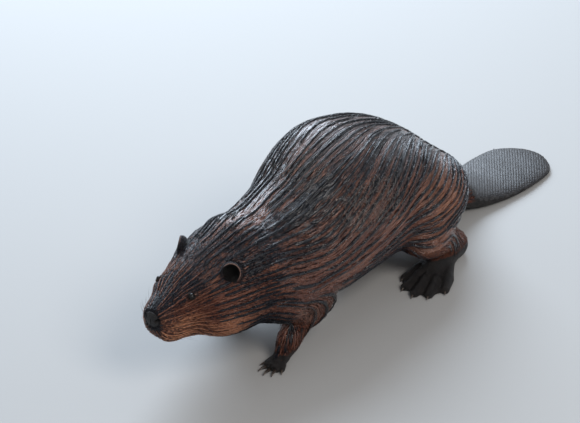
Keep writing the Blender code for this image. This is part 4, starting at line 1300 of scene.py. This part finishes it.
# In that search: the longest step, the least slope that a step is made for, how near the form a scale has to
# end up, at first and at last, how much it has to face up, and the lowest place for one
SCALE_STEP, SCALE_STEEP, SCALE_NEAR, SCALE_ON, SCALE_UP, SCALE_LOW = 0.004, 0.6, 0.0035, 0.0004, 0.05, 0.004


def tubes(paths, radii, sides, flat=1.0):
    """Closed tubes along the paths, (tube, place, 3), with radii (place,) and a point at their far end."""
    count, steps = paths.shape[:2]
    side = unit(np.cross(unit(np.gradient(paths, axis=1)), UP))
    top = np.cross(side, unit(np.gradient(paths, axis=1)))
    turn = 2 * math.pi * np.arange(sides) / sides
    rim = side[:, :, None] * np.cos(turn)[:, None] + flat * top[:, :, None] * np.sin(turn)[:, None]
    rings = paths[:, :-1, None] + rim[:, :-1] * np.array(radii)[None, :-1, None, None]
    points = np.concatenate([rings.reshape(count, -1, 3), paths[:, -1:], paths[:, :1]], 1)
    tip, root = sides * (steps - 1), sides * (steps - 1) + 1
    outside = band_faces(sides, steps - 1) + fan_faces(tip - sides, sides, tip)
    return many(points, [face[::-1] for face in outside] + fan_faces(0, sides, root))


def add_eye(name, side, look):
    """A ball, with each point's distance from the line through the middle of the pupil."""
    around, down = EYE_STEPS
    polar = math.pi * np.arange(down + 1)[:, None] / down
    turn = 2 * math.pi * np.arange(around) / around
    rings = (np.sin(polar) * np.cos(turn), np.sin(polar) * np.sin(turn), np.cos(polar))
    ball = np.stack(np.broadcast_arrays(*rings), -1).reshape(-1, 3)
    points = eye_middle(side) + EYE_RADIUS * ball @ eye_axes(side).T
    faces = np.array(band_faces(around, down + 1))[:, ::-1]
    middle = slice(2 * around, -2 * around)
    faces = np.concatenate([faces[1:2 * around:2], faces[middle], faces[-2 * around::2]])
    return add_mesh(name, points, faces, look, "eye", {"reach": np.hypot(ball[:, 0], ball[:, 1])})


def digit_ends():
    """For each finger and toe: its side, its end, the way it points and its claw's length."""
    turned = turn_matrix(TOE_OUT, 0.0)
    for side in (1, -1):
        for _, _, end, way in fingers(FORE_STRIDE * side):
            yield side, end, way, FINGER_CLAW
        heel = np.array(moved(HEEL, -HIND_STRIDE * side)) * (1, 1, 0)
        for _, _, end, way in toes():
            yield side, turned @ end + heel, turned @ way, TOE_CLAW


def claw_paths():
    """The middle lines of the 20 claws, from inside their digits to their tips."""
    share = np.linspace(CLAW_ROOT, 1.0, CLAW_STEPS)[:, None]
    paths = []
    for side, end, way, reach in digit_ends():
        path = (end + way * reach * share) * (1, 1, 0)
        path[:, 2:] = end[2] + (CLAW_TIP - end[2]) * np.clip(share, 0, 1)
        path[:, 2:] += CLAW_ARCH * np.sin(math.pi * np.clip(share, 0, 1))
        paths.append(path * (1, side, 1))
    return np.stack(paths)


def add_claws(look):
    share = np.linspace(0, 1, CLAW_STEPS)
    paths = claw_paths()
    radii = CLAW_RADII[0] + (CLAW_RADII[1] - CLAW_RADII[0]) * share ** 1.5
    points, triangles = tubes(paths, radii, CLAW_SIDES, CLAW_FLAT)
    along = np.concatenate([np.repeat(share[:-1], CLAW_SIDES), [1.0, 0.0]])
    return add_mesh("claws", points, triangles, look, "claw", {"along": np.tile(along, len(paths))})


def add_whiskers(random, look):
    """Stiff hairs from the sides of the snout, swept back."""
    turned = turn_matrix(*HEAD_TURN)
    share = np.linspace(-0.05, 1, WHISKER_STEPS)[:, None]
    bend = WHISKER_SWEEP * (turned @ np.array(WHISKER_BACK)) * share ** 2
    paths = []
    for side, i in itertools.product((1, -1), range(WHISKERS_PER_SIDE)):
        row, column = divmod(i, WHISKERS_PER_ROW)
        ahead, aside, up = WHISKER_FIRST
        place = (ahead - WHISKERS_APART[0] * column, aside * side, up - WHISKERS_APART[1] * row)
        root = from_head(place)[None]
        for _ in range(3):
            root = settled(skin_form, root)
        back, aside, up, lower = WHISKER_WAY
        way = turned @ unit(np.array((random.uniform(*back), side * aside, up - lower * row)))
        paths.append(root + random.uniform(*WHISKER_LENGTHS) * (way * share + bend))
    points, triangles = tubes(np.stack(paths), WHISKER_RADIUS * np.linspace(1, 0.2, WHISKER_STEPS), 4)
    return add_mesh("whiskers", points, triangles, look, "fur")


def add_loose_hairs(field, skin, random, look):
    """Fine pale hairs that lie across the ropes, on the ruffled middle of each flank."""
    roots = scattered(*skin, LOOSE_SPACING, lambda places: in_patch(places, *RUFFLE) > LOOSE_FROM, random)
    count = len(roots)
    way = unit(lie(roots) + random.uniform(-LOOSE_SPREAD, LOOSE_SPREAD, (count, 3)))
    bend = random.uniform(-LOOSE_BEND, LOOSE_BEND, (count, 1))
    reach = random.uniform(*LOOSE_LENGTHS, (count, 1))
    p, path = roots, []
    for share in np.linspace(0, 1, LOOSE_STEPS):
        p, normal = field.at_height(p, LOOSE_LIFT * math.sin(math.pi * share))
        path.append(p)
        way = unit(flattened(unit(way + bend * np.cross(normal, way)), normal))
        p = p + way * reach / (LOOSE_STEPS - 1)
    points, triangles = tubes(np.stack(path, 1), LOOSE_RADIUS * np.linspace(1, 0.3, LOOSE_STEPS), 3)
    return add_mesh("loose_hairs", points, triangles, look, "fur")


def scale_places(field):
    """Middles of the tail's scales on its upper side, in rows that overlap like tiles."""
    step_along, step = SCALE_SPACING[0] / 2, SCALE_SPACING[1]
    rows = enumerate(np.arange(SCALES_FROM, SCALES_TO, -step_along))
    p = np.array([(x, y + (row % 2) * step / 2, SCALES_ABOVE)
                  for row, x in rows for y in np.arange(-SCALES_ASIDE, SCALES_ASIDE, step)])
    for _ in range(12):
        value, slope = field.read(p)
        p[:, 2] -= np.clip(value, -SCALE_STEP, SCALE_STEP) / np.maximum(slope[:, 2], SCALE_STEEP)
    p = p[field.read(p)[0] < SCALE_NEAR]
    for _ in range(2):
        value, slope = field.read(p)
        p = p - value[:, None] * unit(slope)
    return p[(np.abs(field.read(p)[0]) < SCALE_ON) & (slope[:, 2] > SCALE_UP) & (p[:, 2] > SCALE_LOW)]


def scale_points(field, middles, sizes):
    """Each scale's rings, from its edge under the skin to the middle of its dome, raised at its rear."""
    normal = unit(field.read(middles)[1])
    back = unit(np.array((-1.0, 0.0, 0.0)) + normal * normal[:, :1])
    side = np.cross(normal, back)
    turn = 2 * math.pi * np.arange(SCALE_SIDES) / SCALE_SIDES
    along, across = (way * radius * step for way, radius, step
                     in zip((np.cos(turn), np.sin(turn)), SCALE_RADII, SCALE_SPACING))
    flat = side[:, None] * across[None, :, None] + back[:, None] * along[None, :, None]
    points = []
    for share, height in ((1.0, SCALE_SKIRT), (1.0, 0.0), (SCALE_TOP, SCALE_DOME[0]), (0.0, SCALE_DOME[1])):
        ring = middles[:, None] + flat * (share * sizes)[:, None, None]
        value, slope = field.read(ring.reshape(-1, 3))
        tilt = SCALE_LIFT * (0.5 + 0.5 * np.cos(turn) * share)[None, :, None] * (height >= 0)
        rise = height - FOOT_COAT + 0.00005 + tilt - value.reshape(len(middles), -1, 1)
        ring += rise * unit(slope).reshape(ring.shape)
        points.append(ring if share else ring[:, :1])
    return np.concatenate(points, 1)


def add_scales(field, random, look):
    """Domed eight-sided plates over the tail."""
    middles = scale_places(field)
    middles += SCALE_SPACING[1] * random.uniform(*SCALE_SHIFTS, middles.shape) * (1, 1, 0)
    points = scale_points(field, middles, random.uniform(*SCALE_SIZES, len(middles)))
    faces = band_faces(SCALE_SIDES, 3) + fan_faces(2 * SCALE_SIDES, SCALE_SIDES, 3 * SCALE_SIDES)
    faces += [(0, i + 1, i) for i in range(1, SCALE_SIDES - 1)]
    tone = np.repeat(random.random(len(middles)), points.shape[1])
    return add_mesh("tail_scales", *many(points, faces), look, "leather", {"tone": tone})


# ---- materials

# the first colour is the near-black of the dark locks with a painted bluish reflection of the sky mixed into it
DARK_WITH_SKY_TINT, RUST, PALE_RUST = (0.0064, 0.0076, 0.0125), (0.115, 0.036, 0.020), (0.27, 0.120, 0.075)
# the second colour of the next line is painted sheen: pale bluish grey for the sky's reflection on the wet coat
SANDY, PAINTED_SHEEN = (0.52, 0.230, 0.120), (0.260, 0.250, 0.265)
BARE, PALE_BARE, UNDER_FUR = (0.0090, 0.0080, 0.0080), (0.0210, 0.0180, 0.0170), (0.004, 0.002, 0.002)
# the third colour is painted shade: near black deep in the ears and nostrils
PINK, LID, HOLLOW_SHADE = (0.28, 0.165, 0.130), (0.018, 0.010, 0.008), (0.0030, 0.0024, 0.0024)
PUPIL_COLOUR, IRIS_COLOUR = (0.0010, 0.0010, 0.0010), (0.0060, 0.0030, 0.0020)
ROUND_IRIS, IRIS_EDGES = (0.0030, 0.0018, 0.0015), (0.10, 0.12)      # the edges' widths: pupil's and iris's
HORN, PALE_HORN, HORN_TIP = (0.018, 0.013, 0.011), (0.050, 0.036, 0.028), (0.085, 0.062, 0.046)
SCALE, PALE_SCALE, SCALE_GRAIN = (0.013, 0.012, 0.013), (0.034, 0.030, 0.029), (0.008, 0.007, 0.008)
WHISKER, PALE_WHISKER = (0.020, 0.015, 0.013), (0.10, 0.07, 0.05)
LOOSE_HAIR, PALE_LOOSE_HAIR = (0.10, 0.085, 0.075), (0.30, 0.27, 0.25)


def coat_colour(look, tone):
    """The markings that skin and coat share, and the coat's painted sheen, with a tone from 0 for their darkest
    to 1 for their reddest.
    """
    share = look.maths("ADD", look.attribute("rust"), look.ranged(tone, 0.0, 1.0, -0.55, 0.45))
    reds = look.mixed(look.ranged(tone, 0.60, 1.1), RUST, PALE_RUST)
    colour = look.mixed(look.ranged(share, 0.32, 0.62), DARK_WITH_SKY_TINT, reds)
    sandy = look.maths("MULTIPLY", look.attribute("sandy"), look.ranged(tone, 0.32, 0.70))
    colour = look.mixed(sandy, colour, SANDY)
    # painted sheen: the lighter locks are mixed towards pale bluish grey where the wet coat would reflect the
    # sky
    painted_sheen = look.maths("MULTIPLY", look.attribute("painted_sheen"), look.ranged(tone, 0.25, 0.70, 0.0, 0.70))
    return look.mixed(painted_sheen, colour, PAINTED_SHEEN)


def fur_look(name, wet):
    """The coat's colours, under a film of water that is as strong as wet says."""
    look = Look(name, 0.34, Coat_Weight=wet, Coat_Roughness=0.18, Specular_IOR_Level=0.25 + 0.3 * wet)
    uneven = look.ranged(look.noise(260.0, 2.0), 0.3, 0.7, -0.12, 0.12)
    look.link(coat_colour(look, look.maths("ADD", look.attribute("tone"), uneven)), "Base Color")
    look.link(look.ranged(look.noise(140.0), 0.35, 0.65, 0.22, 0.44), "Roughness")
    return look


def skin_look():
    look = Look("skin", 0.6, Specular_IOR_Level=0.30)
    bare = look.attribute("bare")
    grain = look.noise(420.0, 3.0, (0.35, 1.0, 1.0))
    pebbles = look.node("ShaderNodeTexVoronoi", {"Scale": 620.0})
    colour = coat_colour(look, look.ranged(grain, 0.35, 0.65, 0.1, 0.8))
    leather = look.mixed(look.ranged(look.noise(90.0), 0.35, 0.65), BARE, PALE_BARE)
    colour = look.mixed(bare, look.mixed(0.65, colour, UNDER_FUR), leather)
    # the hollows' colour is painted shade deep in the ears and nostrils
    for place, tint in (("lid", LID), ("hollow", HOLLOW_SHADE)):
        colour = look.mixed(look.attribute(place), colour, tint)
    look.link(look.mixed(look.maths("MULTIPLY", look.attribute("rim"), 0.8), colour, PINK), "Base Color")
    look.link(look.ranged(bare, 0.0, 1.0, 0.80, 0.42), "Roughness")
    look.bump(look.mixed(bare, grain, pebbles), 0.8, 0.0014)
    return look


def eye_look():
    look = Look("eye", 0.05, IOR=1.33, Specular_IOR_Level=0.80)
    reach = look.attribute("reach")
    iris = look.mixed(look.ranged(reach, PUPIL, PUPIL + IRIS_EDGES[0]), PUPIL_COLOUR, IRIS_COLOUR)
    look.link(look.mixed(look.ranged(reach, IRIS, IRIS + IRIS_EDGES[1]), iris, ROUND_IRIS), "Base Color")
    return look


def claw_look():
    look = Look("claw", 0.30)
    streaks = look.noise(900.0, 2.0, (0.15, 1.0, 1.0))
    dark = look.mixed(look.ranged(streaks, 0.3, 0.7), HORN, PALE_HORN)
    look.link(look.mixed(look.ranged(look.attribute("along"), 0.55, 1.0), dark, HORN_TIP), "Base Color")
    look.bump(streaks, 0.25, 0.0004)
    return look


def hair_look(name, dark, pale):
    look = Look(name, 0.30)
    look.link(look.mixed(look.ranged(look.noise(300.0), 0.35, 0.65), dark, pale), "Base Color")
    return look


def scale_look():
    look = Look("scales", 0.40)
    grain = look.noise(700.0, 3.0)
    colour = look.mixed(look.ranged(look.attribute("tone"), 0.0, 1.0), SCALE, PALE_SCALE)
    look.link(look.mixed(look.ranged(grain, 0.35, 0.75, 0.0, 0.6), colour, SCALE_GRAIN), "Base Color")
    look.link(look.ranged(grain, 0.3, 0.7, 0.30, 0.52), "Roughness")
    look.bump(grain, 0.35, 0.0006)
    return look


# ---- the studio

CAMERA_BEARING, CAMERA_ELEVATION = 39.0, 30.0     # degrees from the nose's way towards the left, and up
CAMERA_AIM = (-0.2085, 0.1066, 0.2986)            # in the form's axes
CAMERA_DISTANCE, LENS = 4.2, 166.8
LIGHTS_AIM = (0.0, 0.0, 0.15)
SKY, SKY_STRENGTH = (0.88, 0.93, 1.0, 1.0), 0.45
FLOOR, FLOOR_HALF = (0.42, 0.415, 0.405, 1.0), 9


def look_from(item, place, aim):
    back = unit(np.array(place) - aim)
    right = unit(np.cross(UP, back))
    axes = np.stack([right, np.cross(back, right), back], 1)
    item.matrix_world = Matrix.Translation(place) @ Matrix(axes.tolist()).to_4x4()


def add_camera():
    camera = added("camera", bpy.data.cameras.new("camera"))
    camera.data.lens = LENS
    towards = turn_matrix(CAMERA_BEARING, CAMERA_ELEVATION)[:, 0]
    aim = np.array(CAMERA_AIM) + SHIFT
    look_from(camera, aim + towards * CAMERA_DISTANCE, aim)
    bpy.context.scene.camera = camera


def add_light(name, place, size, power, colour):
    light = added(name, bpy.data.lights.new(name, "AREA"))
    light.data.shape = "DISK"
    light.data.size, light.data.energy, light.data.color = size, power, colour
    look_from(light, place, np.array(LIGHTS_AIM))


def add_floor():
    look = Look("floor", 0.7)
    look.shader.inputs["Base Color"].default_value = FLOOR
    mesh = bpy.data.meshes.new("floor")
    corners = [(x * FLOOR_HALF, y * FLOOR_HALF, 0) for x, y in ((-1, -1), (1, -1), (1, 1), (-1, 1))]
    mesh.from_pydata(corners, [], [(0, 1, 2, 3)])
    mesh.materials.append(look.material)
    ground = added("floor", mesh)


def add_studio():
    world = bpy.data.worlds.new("studio")
    world.use_nodes = True
    background = world.node_tree.nodes["Background"]
    background.inputs["Color"].default_value = SKY
    background.inputs["Strength"].default_value = SKY_STRENGTH
    bpy.context.scene.world = world
    add_light("sky_panel", (-1.7, -2.1, 2.2), 2.8, 190.0, (0.74, 0.86, 1.0))
    add_light("fill", (1.0, 3.0, 3.2), 2.0, 85.0, (1.0, 0.95, 0.90))
    add_floor()
    bpy.context.scene.view_settings.view_transform = "Standard"


# ---- all of it

FLESH = ("head", "lower_jaw", "nose", "ear_l", "ear_r", "neck", "trunk", "rump", "tail_root", "tail",
         "foreleg_l", "foreleg_r", "forefoot_l", "forefoot_r",
         "hindleg_l", "hindleg_r", "hindfoot_l", "hindfoot_r")


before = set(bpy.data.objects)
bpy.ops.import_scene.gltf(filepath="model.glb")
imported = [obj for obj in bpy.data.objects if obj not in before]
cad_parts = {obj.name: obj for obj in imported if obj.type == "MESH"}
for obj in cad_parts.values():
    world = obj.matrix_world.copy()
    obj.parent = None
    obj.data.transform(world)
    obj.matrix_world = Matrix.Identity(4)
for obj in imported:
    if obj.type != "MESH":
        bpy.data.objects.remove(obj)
cad_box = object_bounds()
SHIFT = (np.array(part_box("eye_l")[0]) + np.array(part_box("eye_l")[1])) / 2 - eye_middle(1)
low, high = (np.array(corner) - SHIFT for corner in cad_box)
random = np.random.default_rng(SEED)
field = Field(animal_form, low - ROOM, high + ROOM)
flat_skin = skin_mesh(field)
skin = add_mesh("skin", folded(*flat_skin), flat_skin[1], skin_look(), "fur", markings(flat_skin[0]))
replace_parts(skin, *FLESH)
long_fur, short_fur = fur_look("long_fur", 0.85), fur_look("short_fur", 0.15)
for name in ZONES:
    add_coat(name, field, flat_skin, long_fur if name == "body" else short_fur, random)
for side, letter in ((1, "l"), (-1, "r")):
    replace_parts(add_eye(f"eyeball_{letter}", side, eye_look()), f"eye_{letter}")
add_claws(claw_look())
add_whiskers(random, hair_look("whisker", WHISKER, PALE_WHISKER))
add_loose_hairs(field, flat_skin, random, hair_look("loose_hair", LOOSE_HAIR, PALE_LOOSE_HAIR))
add_scales(field, random, scale_look())
add_camera()
add_studio()
